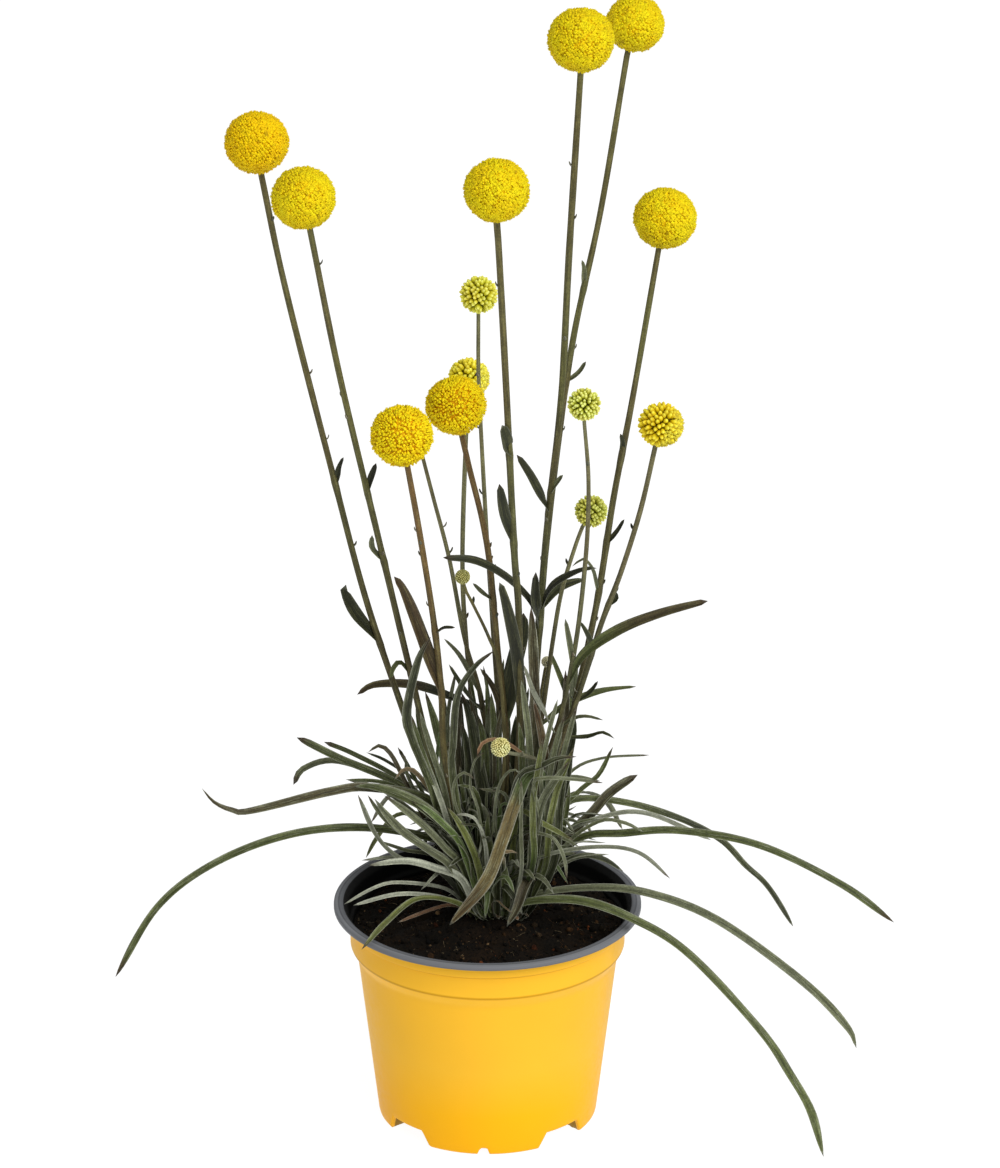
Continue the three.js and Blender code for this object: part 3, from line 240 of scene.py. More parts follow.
# Leaves on the stems: stem, the height it starts at, width, tone and the places its midrib passes.
STEM_LEAVES = [
    (1, 212, 3.8, "slate", (-54.4, 6, 225), (-59, 3, 236), (-58.4, 2, 240)),
    (1, 281, 2, "slate", (-61, 9, 288), (-59, 8, 294)),
    (2, 203, 1.6, "olive", (-36, -10, 210), (-39, -12, 208), (-40, -13, 203)),
    (2, 257, 2, "grey", (-47, -16, 263), (-47, -16, 269)),
    (2, 289, 2, "slate", (-47, -20, 296), (-45, -20, 302)),
    (3, 226, 3.4, "slate", (17, -9, 238), (7, -19, 252), (-5, -27, 262), (-18, -31, 265)),
    (3, 222, 3, "slate", (20, -12, 238), (20, -14, 252)),
    (3, 231, 3, "slate", (27, -12, 245), (38, -18, 254), (45, -20, 256)),
    (3, 277, 3.2, "slate", (22, -16, 286), (17, -19, 297), (12, -21, 306)),
    (3, 285, 2, "grey", (28, -14, 290), (31, -15, 295)),
    (4, 217, 3, "dark", (30, 35, 225), (41, 38, 228)),
    (4, 315, 1.8, "grey", (38, 41, 319), (41, 41, 324)),
    (4, 354, 1.8, "grey", (40, 46, 361), (39, 45, 367)),
    (5, 195, 4.2, "slate", (12, -22, 218), (8, -33, 243), (5, -38, 257)),
    (5, 272, 3.4, "slate", (7, -38, 287), (5, -41, 301)),
    (5, 313, 4.6, "slate", (8, -43, 318), (6, -46, 328)),
    (6, 228, 1.4, "grey", (44, 17, 240), (40, 15, 246), (35, 14, 243)),
    (6, 176, 1.8, "olive", (31, 13, 192), (26, 12, 206)),
    (6, 287, 1.8, "dark", (56, 26, 293), (55, 25, 298)),
    (6, 250, 2, "slate", (54, 21, 256), (57, 20, 262)),
    (9, 180, 5.8, "dark", (10.4, -4, 200), (14, -9, 220), (15, -12, 233)),
    (9, 237, 1.6, "grey", (-2, -12, 242), (-6, -14, 247)),
    (9, 176, 2.6, "bronze", (3, -4, 194), (-3, -9, 207)),
    (10, 200, 4.4, "umber", (-27, -22, 226), (-34, -27, 248), (-38, -29, 256)),
    (10, 228, 1.6, "slate", (-18, -26, 232), (-13, -28, 233)),
    (11, 178, 1.8, "silver", (24, -22, 192), (19, -27, 204), (15, -29, 217)),
    (11, 212, 1.8, "grey", (34, -21, 223), (32, -23, 235)),
    (11, 203, 4, "olive>bronze", (40, -23, 219), (54, -29, 232), (71, -33, 241), (90, -36, 248)),
    (11, 180, 1.6, "grey", (35, -16, 187), (41, -20, 190), (48, -24, 190)),
    (12, 213, 1.8, "dark", (42, -13, 222), (38, -16, 231)),
    (12, 190, 1.6, "dark", (43, -5, 195), (46, -6, 200)),
    (12, 172, 1.6, "dark", (42, -4, 174), (48, -9, 178), (53, -11, 176)),
    (12, 237, 1.6, "dark", (53, -14, 240), (51.6, -13, 244)),
    (13, 173, 2.6, "olive", (33, 20, 178), (47, 27, 181), (63, 33, 181)),
    (17, 180, 3, "slate>umber", (-12, 16, 182), (-30, 20, 187), (-47, 23, 186), (-55, 24, 181)),
    (17, 186, 2, "grey", (-11, 4, 206), (-18, -1, 217)),
    (17, 178, 1.8, "dark", (-8, 2, 190), (-13, -4, 201), (-16, -7, 208)),
    (15, 174, 1.4, "dry", (8, -20, 178), (2, -22, 180.5), (-2.5, -24, 179), (-4.2, -25, 174)),
]

# More leaves of the clump, given in the same way: inner ones, curled tips and dry bits.
SMALL_LEAVES = [
    (3.4, "olive>olive>straw", (8, -6, 95), (7, -16, 118), (6, -25, 129), (9, -27, 132), (13, -27, 131)),
    (0.8, "brown", (2, -12, 100), (4, -22, 107), (7, -26, 106), (11, -29, 104)),
    (0.8, "straw", (-3, -10, 100), (-6, -20, 104), (-9, -26, 102)),
    (2.6, "moss", (9, -5, 95), (11, -12, 130), (14, -18, 146), (21, -23, 144), (29, -27, 141),
     (36, -32, 139)),
    (1.6, "grey", (12, -5, 95), (13, -16, 128), (16, -22, 138), (22, -27, 140), (28, -31, 139),
     (32, -35, 132), (33, -38, 124)),
    (2, "bronze", (-9, 8, 95), (-24, 2, 128), (-34, -3, 152), (-40, -3, 165), (-45, -1, 168.5),
     (-50, 0, 165)),
    (1.6, "grey", (-8, 6, 95), (-22, 0, 130), (-33, -4, 155), (-34, -3, 163), (-37, -2, 166)),
    (2.2, "straw", (-6, 0, 95), (-18, -6, 138), (-28, -10, 158), (-34, -8, 161), (-39, -6, 155)),
    (3, "grey", (10, -3, 95), (18, -14, 150), (17.5, -20, 176), (16, -24, 194), (14, -26, 209)),
    (3.6, "grey", (13, -8, 95), (18, -16, 116), (19, -24, 135), (23, -29, 156), (34, -31, 175)),
    (3, "olive>moss", (15, -7, 95), (24, -15, 118), (26, -24, 144), (30, -26, 163), (36, -26, 179)),
    (3.6, "dark", (18, -6, 95), (28, -13, 121), (30, -20, 150), (33, -21, 170)),
    (3.2, "dark", (4, -8, 95), (5, -22, 130), (10, -25, 152), (14, -30, 168), (22, -33, 173),
     (29, -34, 177), (37, -34, 178)),
    (2.8, "green>moss", (12, -7, 95), (19, -20, 122), (19, -27, 141), (19, -31, 157), (21, -33, 172),
     (23, -33, 186)),
    (2.6, "grey", (14, -6, 95), (24, -20, 139), (25, -24, 159), (28, -26, 178), (32, -27, 194)),
    (2.2, "moss>grey", (16, -6, 95), (27, -18, 142), (29, -22, 162), (33, -24, 181), (37, -25, 197)),
    (2, "silver>grey", (12, -8, 95), (22, -24, 147), (22, -29, 168), (25, -31, 186), (29, -32, 203)),
    (4.6, "dark", (6, 8, 95), (10, 6, 127), (11, 6, 145), (11, 6, 161), (12, 5, 180)),
    (1.4, "olive>grey", (2, -6, 95), (4, -18, 128), (3, -22, 146), (5, -25, 161), (10, -27, 169),
     (14, -29, 168)),
    (1.4, "olive>grey", (-4, -4, 95), (-9, -14, 133), (-14, -18, 152), (-13, -21, 162), (-9, -23, 166),
     (-5, -24, 163)),
    (1.2, "grey", (0, -4, 95), (-3, -20, 143), (-7, -22, 160), (-5, -24, 172), (-1, -25, 176)),
    (1.8, "dark>grey", (16, -8, 95), (22, -24, 140), (19, -34, 165), (24, -38, 170), (36, -38, 169.5),
     (48, -36, 167)),
    (1.6, "silver>grey", (9, -9, 95), (14, -19, 117), (14, -28, 142), (14, -35, 168)),
    (6, "olive", (-2, -6, 95), (-6, -13, 123), (-16, -15, 136), (-28, -15, 147), (-39, -13, 152),
     (-48, -11, 154), (-56, -10, 154)),
    (3.8, "grey", (-3, -6, 94), (-15, -15, 119), (-24, -18, 128), (-35, -19, 137), (-42, -19, 145),
     (-47, -18, 152)),
    (3.4, "olive>grey", (-3, -5, 95), (-11, -13, 119), (-17, -15, 127), (-26, -16, 138), (-36, -16, 147),
     (-43, -15, 152)),
    (3.2, "green", (-2, -6, 95), (-8, -14, 119), (-12, -17, 132), (-20, -18, 142), (-26, -17, 147),
     (-32, -16, 150)),
    (3.4, "moss", (0, -6, 95), (-4, -14, 119), (-7, -17, 130), (-12, -18, 141), (-17, -17, 148)),
    (2, "pearl", (3, -6, 95), (0, -14, 118), (-1, -18, 131), (-4, -20, 142), (-9, -21, 146),
     (-14, -22, 146)),
    (3.6, "pearl", (-4, -6, 93), (-11, -14, 113), (-22, -18, 120), (-34, -22, 125), (-50, -26, 125)),
    (4.6, "dark", (0, 8, 95), (-6, 8, 126), (-7, 8, 144), (-8, 9, 160), (-11, 10, 175)),
    (4.2, "dark>olive", (3, 8, 95), (-1, 6, 127), (-1, 6, 145), (-1, 7, 163), (-4, 8, 179)),
    (2.6, "olive>grey", (-8, 4, 95), (-15, 0, 129), (-18, -2, 149), (-24, -3, 170), (-28, -3, 185)),
    (2.4, "pearl>silver>olive", (-6, -5, 95), (-17, -14, 141), (-21.3, -12, 154), (-27.6, -9, 171),
     (-31.8, -8, 186)),
    (3.2, "moss>green", (2, -7, 95), (2, -14, 108), (5, -20, 116), (8.2, -23, 118), (11.6, -27, 112)),
]

# The leaves at the back follow one rule, with these ranges.
BACK_LEAF_COUNT = 13
BACK_FAN = (44, 138)             # degrees from +X
BACK_START = 17.5
BACK_REACH = (46, 82)
BACK_RISE = (8, 28)
BACK_WIDTH = (2.2, 3.6)

# How each kind of globe looks: number of open florets on a large globe, number of tufts or buds, how
# deep the gaps between tufts are, how much painted shade browns the florets at the edges of tufts, how
# far florets splay away from their tuft, how wide a floret and how long a bud is in the room it has, the
# smooth core's size as a share of the globe's, and the core's colour, which shows deep between the florets.
BLOOMS = {
    "full": dict(slot="florets_yellow", florets=1500, tufts=170, gap=0.015, tuft_edge_shade=0.03, splay=0.45,
                 width=1.42, core_size=0.9, core=(242, 214, 10)),
    "golden": dict(slot="florets_orange", florets=1300, tufts=120, gap=0.05, tuft_edge_shade=0.08, splay=0.8,
                   width=1.0, core_size=0.8, core=(230, 184, 8)),
    # The dark cores of opening globes and of closed buds are painted shade deep between them.
    "opening": dict(slot="florets_yellow", florets=900, tufts=190, gap=0.05, tuft_edge_shade=0.12, splay=0.7,
                    width=0.9, bud_length=1.9, core_size=0.62, core=(74, 56, 0)),
    "bud": dict(slot="florets_lime", tufts=176, bud_length=1.9, core_size=0.62, core=(60, 62, 2)),
    "young": dict(slot="florets_cream", tufts=210, bud_length=1.1, core_size=0.84, core=(128, 124, 56)),
}

# Seeds of the random draws, and the first of the seeds of each kind of blade.
SEEDS = dict(soil=41, fillers=7, sheaths=23, curls=43, uprights=31, scars=60, globes=300)
BLADE_SEEDS = dict(on_stem=100, scar=400, basal=500, filler=700, sheath=900, curl=1100)

# ------------------------------------------------------------------ colours, as sRGB 0 to 255

LEAF_TONES = {
    "olive": (94, 104, 54), "grey": (118, 123, 92), "silver": (178, 182, 160), "green": (92, 114, 52),
    "dark": (52, 57, 33), "brown": (98, 70, 46), "umber": (78, 54, 36), "bronze": (84, 72, 48),
    "moss": (122, 130, 62), "slate": (38, 40, 31), "dry": (178, 128, 96), "straw": (184, 156, 116),
    "pearl": (222, 226, 204), "tan": (140, 118, 70), "russet": (112, 84, 50),
}
# Light leaf margins: white hairs, with a painted sheen on them.
HAIRY_MARGIN_AND_SHEEN = (212, 214, 196)
# Each stem's tones low down and below its globe.
STEM_TONES = {
    "sage": ((86, 87, 48), (116, 114, 62)), "brown": ((104, 96, 54), (124, 95, 50)),
    "pale": ((86, 86, 54), (138, 136, 94)), "silver": ((104, 106, 80), (142, 144, 114)),
}
# Each kind of petal or bud: its tip, its side and the darker tone at its foot, partly its own colour and
# partly painted shade where they crowd together. Open florets have no side.
PETAL_TONES = {
    "yellow": ((246, 228, 22), (240, 216, 10), (226, 200, 6)),
    "amber": ((251, 220, 12), (244, 206, 8), (226, 186, 4)),
    "orange": ((255, 235, 22), (248, 214, 8), (229, 184, 8)),
    "lime": ((242, 244, 126), (212, 208, 40), (100, 94, 2)),
    "silver": ((226, 226, 200), (200, 200, 170), (140, 138, 110)),
    "pale_lime": ((234, 242, 146), (186, 190, 50), (80, 84, 0)),
    "chartreuse": ((248, 244, 100), (230, 216, 30), (106, 94, 2)),
    "gold_bud": ((242, 230, 72), (220, 196, 10), (92, 64, 0)),
    "olive": ((222, 228, 130), (172, 178, 58), (84, 82, 10)),
    "cream": ((240, 240, 192), (206, 206, 134), (140, 138, 76)),
    "grey_bud": ((190, 188, 124), (150, 148, 88), (96, 94, 50)),
}
# Brown of old florets, also used as painted shade at the edges of tufts.
BROWN_AND_SHADE = (128, 84, 20)
PALE_BASE = (128, 144, 90)
STEM_FOOT = (156, 150, 100)
STEM_BROWN = (98, 74, 46)
WITHERED = (70, 46, 28)
CROWN_TONES = ((50, 38, 22), (62, 66, 32))
FIBRE_TONES = ((104, 74, 48), (66, 50, 34), (136, 120, 92))


def linear(colour):
    """An sRGB colour of 0 to 255 as linear values of 0 to 1."""
    share = np.asarray(colour, float) / 255
    return np.where(share <= 0.04045, share / 12.92, ((share + 0.055) / 1.055) ** 2.4)


# ------------------------------------------------------------------ curves and noise


def unit(vectors):
    vectors = np.asarray(vectors, float)
    return vectors / np.linalg.norm(vectors, axis=-1, keepdims=True)


def smooth(share):
    share = np.clip(share, 0, 1)
    return share * share * (3 - 2 * share)


def mix(first, second, share):
    """Between two colours or points, with one share for each row."""
    share = np.asarray(share, float)[..., None]
    return np.asarray(first, float) * (1 - share) + np.asarray(second, float) * share


def curve_through(points, steps):
    """A Catmull-Rom curve through the points, as steps + 1 places."""
    points = np.asarray(points, float)
    padded = np.vstack([2 * points[0] - points[1], points, 2 * points[-1] - points[-2]])
    places = np.linspace(0, len(points) - 1, steps + 1)
    index = np.minimum(places.astype(int), len(points) - 2)
    w = (places - index)[:, None]
    before, start, end, after = (padded[index + k] for k in range(4))
    leave, arrive = 0.5 * (end - before), 0.5 * (after - start)
    cubic = 2 * start - 2 * end + leave + arrive
    square = 3 * (end - start) - 2 * leave - arrive
    return start + leave * w + square * w ** 2 + cubic * w ** 3


def lengths_along(line):
    """How far along a line each of its places is."""
    return np.concatenate([[0], np.cumsum(np.linalg.norm(np.diff(line, axis=0), axis=1))])


def even_line(line, spacing, fewest, most):
    """The same line with evenly spaced places, and how far along it each place is."""
    along = lengths_along(line)
    steps = int(np.clip(round(along[-1] / spacing), fewest, most))
    places = np.linspace(0, along[-1], steps + 1)
    return np.column_stack([np.interp(places, along, line[:, k]) for k in range(3)]), places


def full_turn(sides):
    """The angles of evenly spread places round a circle."""
    return np.linspace(0, 2 * math.pi, sides, endpoint=False)


def heading_at(angle):
    """The level direction at an angle in radians from +X."""
    return np.array((math.cos(angle), math.sin(angle), 0))


def point_at_height(line, height):
    upper = int(np.argmax(line[:, 2] >= height))
    low, high = line[upper - 1], line[upper]
    return low + (high - low) * (height - low[2]) / (high[2] - low[2])


def lattice(cells, seed):
    """A repeatable number from -1 to 1 for each whole-numbered cell."""
    mixed = cells[..., 0] * 374761393 + cells[..., 1] * 668265263 + cells[..., 2] * 1442695041 + seed * 97463
    mixed = mixed & 0xFFFFFFFF
    mixed = ((mixed ^ (mixed >> 13)) * 1274126177) & 0xFFFFFFFF
    mixed = mixed ^ (mixed >> 16)
    return (mixed & 0xFFFF) / 32767.5 - 1


def noise(points, scale, seed=0):
    """Smooth value noise from -1 to 1, with bumps about scale millimetres apart."""
    place = np.asarray(points, float) / scale
    cell = np.floor(place).astype(np.int64)
    share = smooth(place - cell)
    total = np.zeros(place.shape[:-1])
    for corner in np.ndindex(2, 2, 2):
        weight = np.prod(np.where(np.array(corner) == 1, share, 1 - share), axis=-1)
        total += weight * lattice(cell + np.array(corner), seed)
    return total


def spiral_directions(count):
    """Directions spread evenly over a ball."""
    i = np.arange(count)
    z = 1 - 2 * (i + 0.5) / count
    r = np.sqrt(1 - z * z)
    return np.column_stack([r * np.cos(GOLDEN_TURN * i), r * np.sin(GOLDEN_TURN * i), z])


def frames_around(directions, spins):
    """One rotation for each direction: its third column points along the direction."""
    steep = np.abs(directions[:, 2:3]) > 0.9
    helper = np.where(steep, [[1.0, 0.0, 0.0]], [[0.0, 0.0, 1.0]])
    side = unit(np.cross(helper, directions))
    other = np.cross(directions, side)
    cos, sin = np.cos(spins)[:, None], np.sin(spins)[:, None]
    return np.stack([side * cos + other * sin, other * cos - side * sin, directions], axis=-1)


# ------------------------------------------------------------------ shapes and pieces


class Shape:
    """Points with a tint and a place on their blade, and the faces between them."""

    def __init__(self):
        self.points, self.tints, self.places = [], [], []
        self.quads, self.triangles = [], []
        self.count = 0

    def add(self, points, tints, quads=(), triangles=(), places=None):
        points = np.asarray(points, float).reshape(-1, 3)
        self.points.append(points)
        self.tints.append(np.broadcast_to(tints, points.shape))
        self.places.append(np.zeros((len(points), 2)) if places is None else places)
        if len(quads):
            self.quads.append(np.asarray(quads) + self.count)
        if len(triangles):
            self.triangles.append(np.asarray(triangles) + self.count)
        self.count += len(points)

    def scatter(self, template, frames, scales, centres, tints):
        """Copies of a template of points and triangles, each turned, scaled and tinted."""
        points, triangles = template
        placed = np.einsum("nij,nvj->nvi", frames, points[None] * scales[:, None])
        placed += centres[:, None]
        starts = np.arange(len(centres)) * len(points)
        faces = (triangles[None] + starts[:, None, None]).reshape(-1, 3)
        self.add(placed, tints.reshape(-1, 3), triangles=faces)

    def piece(self, name, materials, face_materials=None):
        points = np.concatenate(self.points) * MM
        faces = [face for group in self.quads + self.triangles for face in group.tolist()]
        mesh = bpy.data.meshes.new(name)
        mesh.from_pydata(points.tolist(), [], faces)
        tint = mesh.color_attributes.new("tint", "FLOAT_COLOR", "POINT")
        colours = np.column_stack([np.concatenate(self.tints), np.ones(len(points))])
        tint.data.foreach_set("color", colours.astype(np.float32).ravel())
        place = mesh.attributes.new("place", "FLOAT2", "POINT")
        place.data.foreach_set("vector", np.concatenate(self.places).astype(np.float32).ravel())
        mesh.polygons.foreach_set("use_smooth", np.ones(len(faces), bool))
        for material in materials:
            mesh.materials.append(material)
        if face_materials is not None:
            mesh.polygons.foreach_set("material_index", face_materials)
        mesh.update()
        return in_scene(name, mesh)


def stands_for(piece, node):
    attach(piece, "root")
    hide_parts(node)


def ring_quads(rings, sides):
    """Quads between closed rings of points, numbered ring by ring."""
    ring, side = np.meshgrid(np.arange(rings - 1), np.arange(sides), indexing="ij")
    after = (side + 1) % sides
    corners = [ring * sides + side, ring * sides + after, (ring + 1) * sides + after,
               (ring + 1) * sides + side]
    return np.stack(corners, axis=-1).reshape(-1, 4)


def fan(centre, start, sides, outward):
    """Triangles from a centre point to a ring of points."""
    side = np.arange(sides)
    after = (side + 1) % sides
    first, second = (side, after) if outward else (after, side)
    return np.column_stack([np.full(sides, centre), start + first, start + second])


def closed_rings(rings, sides, flipped=False):
    """Quads and end fans of a closed body.

    Its points are rings, followed by the middle of its first end and the middle of its last."""
    quads = ring_quads(rings, sides)
    ends = [fan(rings * sides, 0, sides, flipped),
            fan(rings * sides + 1, (rings - 1) * sides, sides, not flipped)]
    return (quads[:, ::-1] if flipped else quads), np.vstack(ends)


def rounded(corners):
    """A profile of (radius, height, rounding) corners, with curved corners and no long steps."""
    bare = [np.array(corner[:2], float) for corner in corners]
    points = [bare[0]]
    for i in range(1, len(corners) - 1):
        reach = corners[i][2]
        before = bare[i] + unit(bare[i - 1] - bare[i]) * reach
        after = bare[i] + unit(bare[i + 1] - bare[i]) * reach
        for t in np.linspace(0, 1, CORNER_STEPS + 1):
            points.append((1 - t) ** 2 * before + 2 * t * (1 - t) * bare[i] + t * t * after)
    points.append(bare[-1])
    filled = [points[0]]
    for low, high in zip(points, points[1:]):
        pieces = max(1, math.ceil(np.linalg.norm(high - low) / LONGEST_STEP))
        filled += [low + (high - low) * k / pieces for k in range(1, pieces + 1)]
    return np.array(filled)


# ------------------------------------------------------------------ materials


class Skin:
    """A procedural material in the making: its nodes, its links and its Principled shader."""

    def __init__(self, name, roughness, specular):
        self.material = bpy.data.materials.new(name)
        self.material.use_nodes = True
        self.nodes, self.links = self.material.node_tree.nodes, self.material.node_tree.links
        self.shader = self.nodes["Principled BSDF"]
        self.shader.inputs["Roughness"].default_value = roughness
        self.shader.inputs["Specular IOR Level"].default_value = specular

    def node(self, kind, inputs, **settings):
        """A new node. Each of its inputs takes a value or comes from another node's output."""
        node = self.nodes.new("ShaderNode" + kind)
        for setting, value in settings.items():
            setattr(node, setting, value)
        for socket, value in inputs.items():
            if isinstance(value, bpy.types.NodeSocket):
                self.links.new(value, node.inputs[socket])
            else:
                node.inputs[socket].default_value = value
        return node

    def object_place(self):
        return self.node("TexCoord", {}).outputs["Object"]

    def tint(self):
        return self.node("Attribute", {}, attribute_name="tint").outputs["Color"]

    def blade_place(self, across, along):
        """The place on a blade or stem, stretched so that noise runs along it."""
        place = self.node("Attribute", {}, attribute_name="place").outputs["Vector"]
        stretched = self.node("VectorMath", {0: place, 1: (across, along, 1)}, operation="MULTIPLY")
        return stretched.outputs["Vector"]

    def noise(self, scale, detail, vector=None, roughness=0.55):
        place = self.object_place() if vector is None else vector
        inputs = {"Scale": scale, "Detail": detail, "Roughness": roughness, "Vector": place}
        return self.node("TexNoise", inputs).outputs["Fac"]

    def ramp(self, value, stops):
        """A colour ramp from (place, colour or grey level) stops."""
        node = self.node("ValToRGB", {"Fac": value})
        while len(node.color_ramp.elements) < len(stops):
            node.color_ramp.elements.new(0.5)
        for element, (place, colour) in zip(node.color_ramp.elements, stops):
            element.position = place
            level = (colour,) * 3 if isinstance(colour, (int, float)) else tuple(linear(colour))
            element.color = (*level, 1)
        return node.outputs["Color"]

    def mapped(self, value, source, target=(0, 1)):
        """A number carried over from one range to another."""
        inputs = {"Value": value, "From Min": source[0], "From Max": source[1],
                  "To Min": target[0], "To Max": target[1]}
        return self.node("MapRange", inputs).outputs["Result"]

    def blend(self, kind, factor, first, second):
        """Two colours blended. A tuple is an sRGB colour."""
        first, second = ((*linear(colour), 1) if isinstance(colour, tuple) else colour
                         for colour in (first, second))
        inputs = {"Factor": factor, 6: first, 7: second}
        return self.node("Mix", inputs, data_type="RGBA", blend_type=kind).outputs[2]

    def shade(self, colour, share, value, stops):
        """A colour multiplied by a ramp over a value."""
        return self.blend("MULTIPLY", share, colour, self.ramp(value, stops))

    def bump(self, height, strength, distance):
        node = self.node("Bump", {"Strength": strength, "Distance": distance, "Height": height})
        self.links.new(node.outputs["Normal"], self.shader.inputs["Normal"])

    def coloured(self, colour):
        """The material, finished with its colour."""
        self.links.new(colour, self.shader.inputs["Base Color"])
        return self.material


def plant_material(name, roughness, coarse, fine, streak_tone, streak_share):
    """Leaf and stem skin: its own tint with dark and pale streaks that run lengthwise."""
    skin = Skin(name, roughness, 0.3)
    broad = skin.noise(1.0, 3, skin.blade_place(coarse, 0.05))
    colour = skin.shade(skin.tint(), 0.8, broad, [(0.34, 0.42), (0.64, 1.0)])
    narrow = skin.noise(1.0, 2, skin.blade_place(fine, 0.09))
    streaks = skin.ramp(narrow, [(0.54, 0.0), (0.68, streak_share)])
    streaks = skin.shade(streaks, 1.0, skin.tint(), [(0.02, 0.2), (0.07, 1.0)])
    colour = skin.blend("MIX", streaks, colour, streak_tone)
    colour = skin.shade(colour, 0.7, skin.noise(170, 4), [(0.32, 0.62), (0.66, 1.0)])
    colour = skin.shade(colour, 0.7, skin.noise(1300, 2), [(0.36, 0.55), (0.62, 1.0)])
    skin.bump(broad, 0.5, 0.0004)
    return skin.coloured(colour)


def floret_material(name, roughness):
    """Florets and buds: their own tint with a fine powdery variation and warmer patches."""
    skin = Skin(name, roughness, 0.12)
    colour = skin.shade(skin.tint(), 0.6, skin.noise(2600, 2), [(0.3, 0.88), (0.6, 1.0)])
    warm = [(0.38, (255, 226, 170)), (0.62, (255, 255, 255))]
    return skin.coloured(skin.shade(colour, 0.4, skin.noise(160, 3), warm))


def soil_material():
    skin = Skin("peat", 0.95, 0.15)
    fine = skin.noise(900, 5, roughness=0.7)
    skin.bump(fine, 0.9, 0.0012)
    return skin.coloured(skin.shade(skin.tint(), 0.9, fine, [(0.4, 0.18), (0.62, 1.0)]))


def plastic_material(name, roughness, flat, span, stops):
    """Thermoformed sheet whose tone follows height or, for the grey face, the radius.

    The span is in millimetres. The sheet has a faint cloudiness and fine scuffs."""
    skin = Skin(name, roughness, 0.12)
    place = skin.object_place()
    axes = (1, 1, 0) if flat else (0, 0, 1)
    chosen = skin.node("VectorMath", {0: place, 1: axes}, operation="MULTIPLY").outputs["Vector"]
    measure = skin.node("VectorMath", {0: chosen}, operation="LENGTH").outputs["Value"]
    share = skin.mapped(measure, (span[0] * MM, span[1] * MM))
    base = skin.ramp(share, [((at - span[0]) / (span[1] - span[0]), colour) for at, colour in stops])
    cloud = skin.noise(24, 3, place)
    scuffs = skin.noise(420, 6, place, 0.7)
    gloss = skin.mapped(scuffs, (0.35, 0.7), (roughness - 0.05, roughness + 0.12))
    skin.links.new(gloss, skin.shader.inputs["Roughness"])
    skin.bump(cloud, 0.12, 0.0012)
    return skin.coloured(skin.shade(base, 0.5, cloud, [(0.3, 0.9), (0.7, 1.0)]))


LEAF = plant_material("leaf_skin", 0.6, 1.5, 4.2, (188, 194, 160), 0.5)
STEM = plant_material("stem_skin", 0.66, 1.1, 3.0, (156, 154, 100), 0.45)
FLORET = floret_material("floret", 0.7)
PEAT = soil_material()
# The second tone is painted light on the downward-facing step below the collar; the third is painted shade,
# thin dark lines at the collar's foot and at its top.
SUNNY, STEP_PAINTED_LIGHT, CREASE_PAINTED_SHADE = (243, 184, 42), (247, 189, 46), (198, 143, 10)
POT_YELLOW = plastic_material("pot_yellow", 0.42, False, (0, 97), [
    (2, (245, 175, 0)), (18, (246, 179, 4)), (40, SUNNY), (73.4, SUNNY), (75, STEP_PAINTED_LIGHT), (77.9, STEP_PAINTED_LIGHT),
    (78.5, CREASE_PAINTED_SHADE), (78.9, CREASE_PAINTED_SHADE), (79.5, SUNNY), (88.1, SUNNY), (88.5, CREASE_PAINTED_SHADE), (88.9, SUNNY)])
# The underside is a darker, duller yellow: painted shade.
POT_UNDERSIDE_SHADE = plastic_material("pot_underside_shade", 0.6, False, (0, 97), [(0, (150, 112, 22)), (97, (150, 112, 22))])
# Grey across the radius. Below the lip the inner wall is near black: partly the dark inner sheet and soil
# dust, partly painted shade. On the lip the darker inner part, the dark line and the lighter ring near its
# outer edge are painted shade and a painted highlight.
POT_GREY = plastic_material("pot_grey", 0.5, True, (56, 65.2), [
    (60.9, (13, 13, 12)), (61.1, (96, 98, 102)), (62.4, (106, 108, 112)), (63.0, (84, 86, 90)),
    (63.5, (128, 130, 134)), (64.3, (120, 122, 126)), (65.1, (104, 106, 110))])

# ------------------------------------------------------------------ pot


def radial_depth(x, y, degrees, widths, start, height, margin=0.0):
    """How high a recess that runs outwards at one angle lifts the underside."""
    angle = math.radians(degrees)
    out = x * math.cos(angle) + y * math.sin(angle)
    across = np.abs(y * math.cos(angle) - x * math.sin(angle))
    foot, roof = widths[0] / 2 + margin, widths[1] / 2 + margin
    side = np.clip((foot - across) / (foot - roof), 0, 1)
    return height * side * np.clip((out - start + margin) / RECESS_SLOPE, 0, 1)


def underside_lift(x, y, margin):
    lift = np.zeros_like(x)
    for i in range(FOOT_COUNT):
        angle = FIRST_CHANNEL_ANGLE + i * 360 / FOOT_COUNT
        channel = radial_depth(x, y, angle, CHANNEL_WIDTH, CHANNEL_START, CHANNEL_HEIGHT, margin)
        notch = radial_depth(x, y, angle + 180 / FOOT_COUNT, NOTCH_WIDTH, NOTCH_START, NOTCH_HEIGHT,
                             margin)
        lift = np.maximum(lift, np.maximum(channel, notch))
    return lift


def with_feet(points, margin):
    """Lifts the underside into channels and notches and draws the lower wall up with it."""
    x, y, z = points.T
    lift = underside_lift(x, y, margin)
    share = np.clip(1 - z / FOOT_ZONE, 0, 1)
    raised = z + lift * share
    radius = np.hypot(x, y)
    wider = np.where(radius > FOOT_RADIUS - WALL_BAND, 1 + WALL_TAPER * (raised - z) / radius, 1)
    return np.column_stack([x * wider, y * wider, raised])


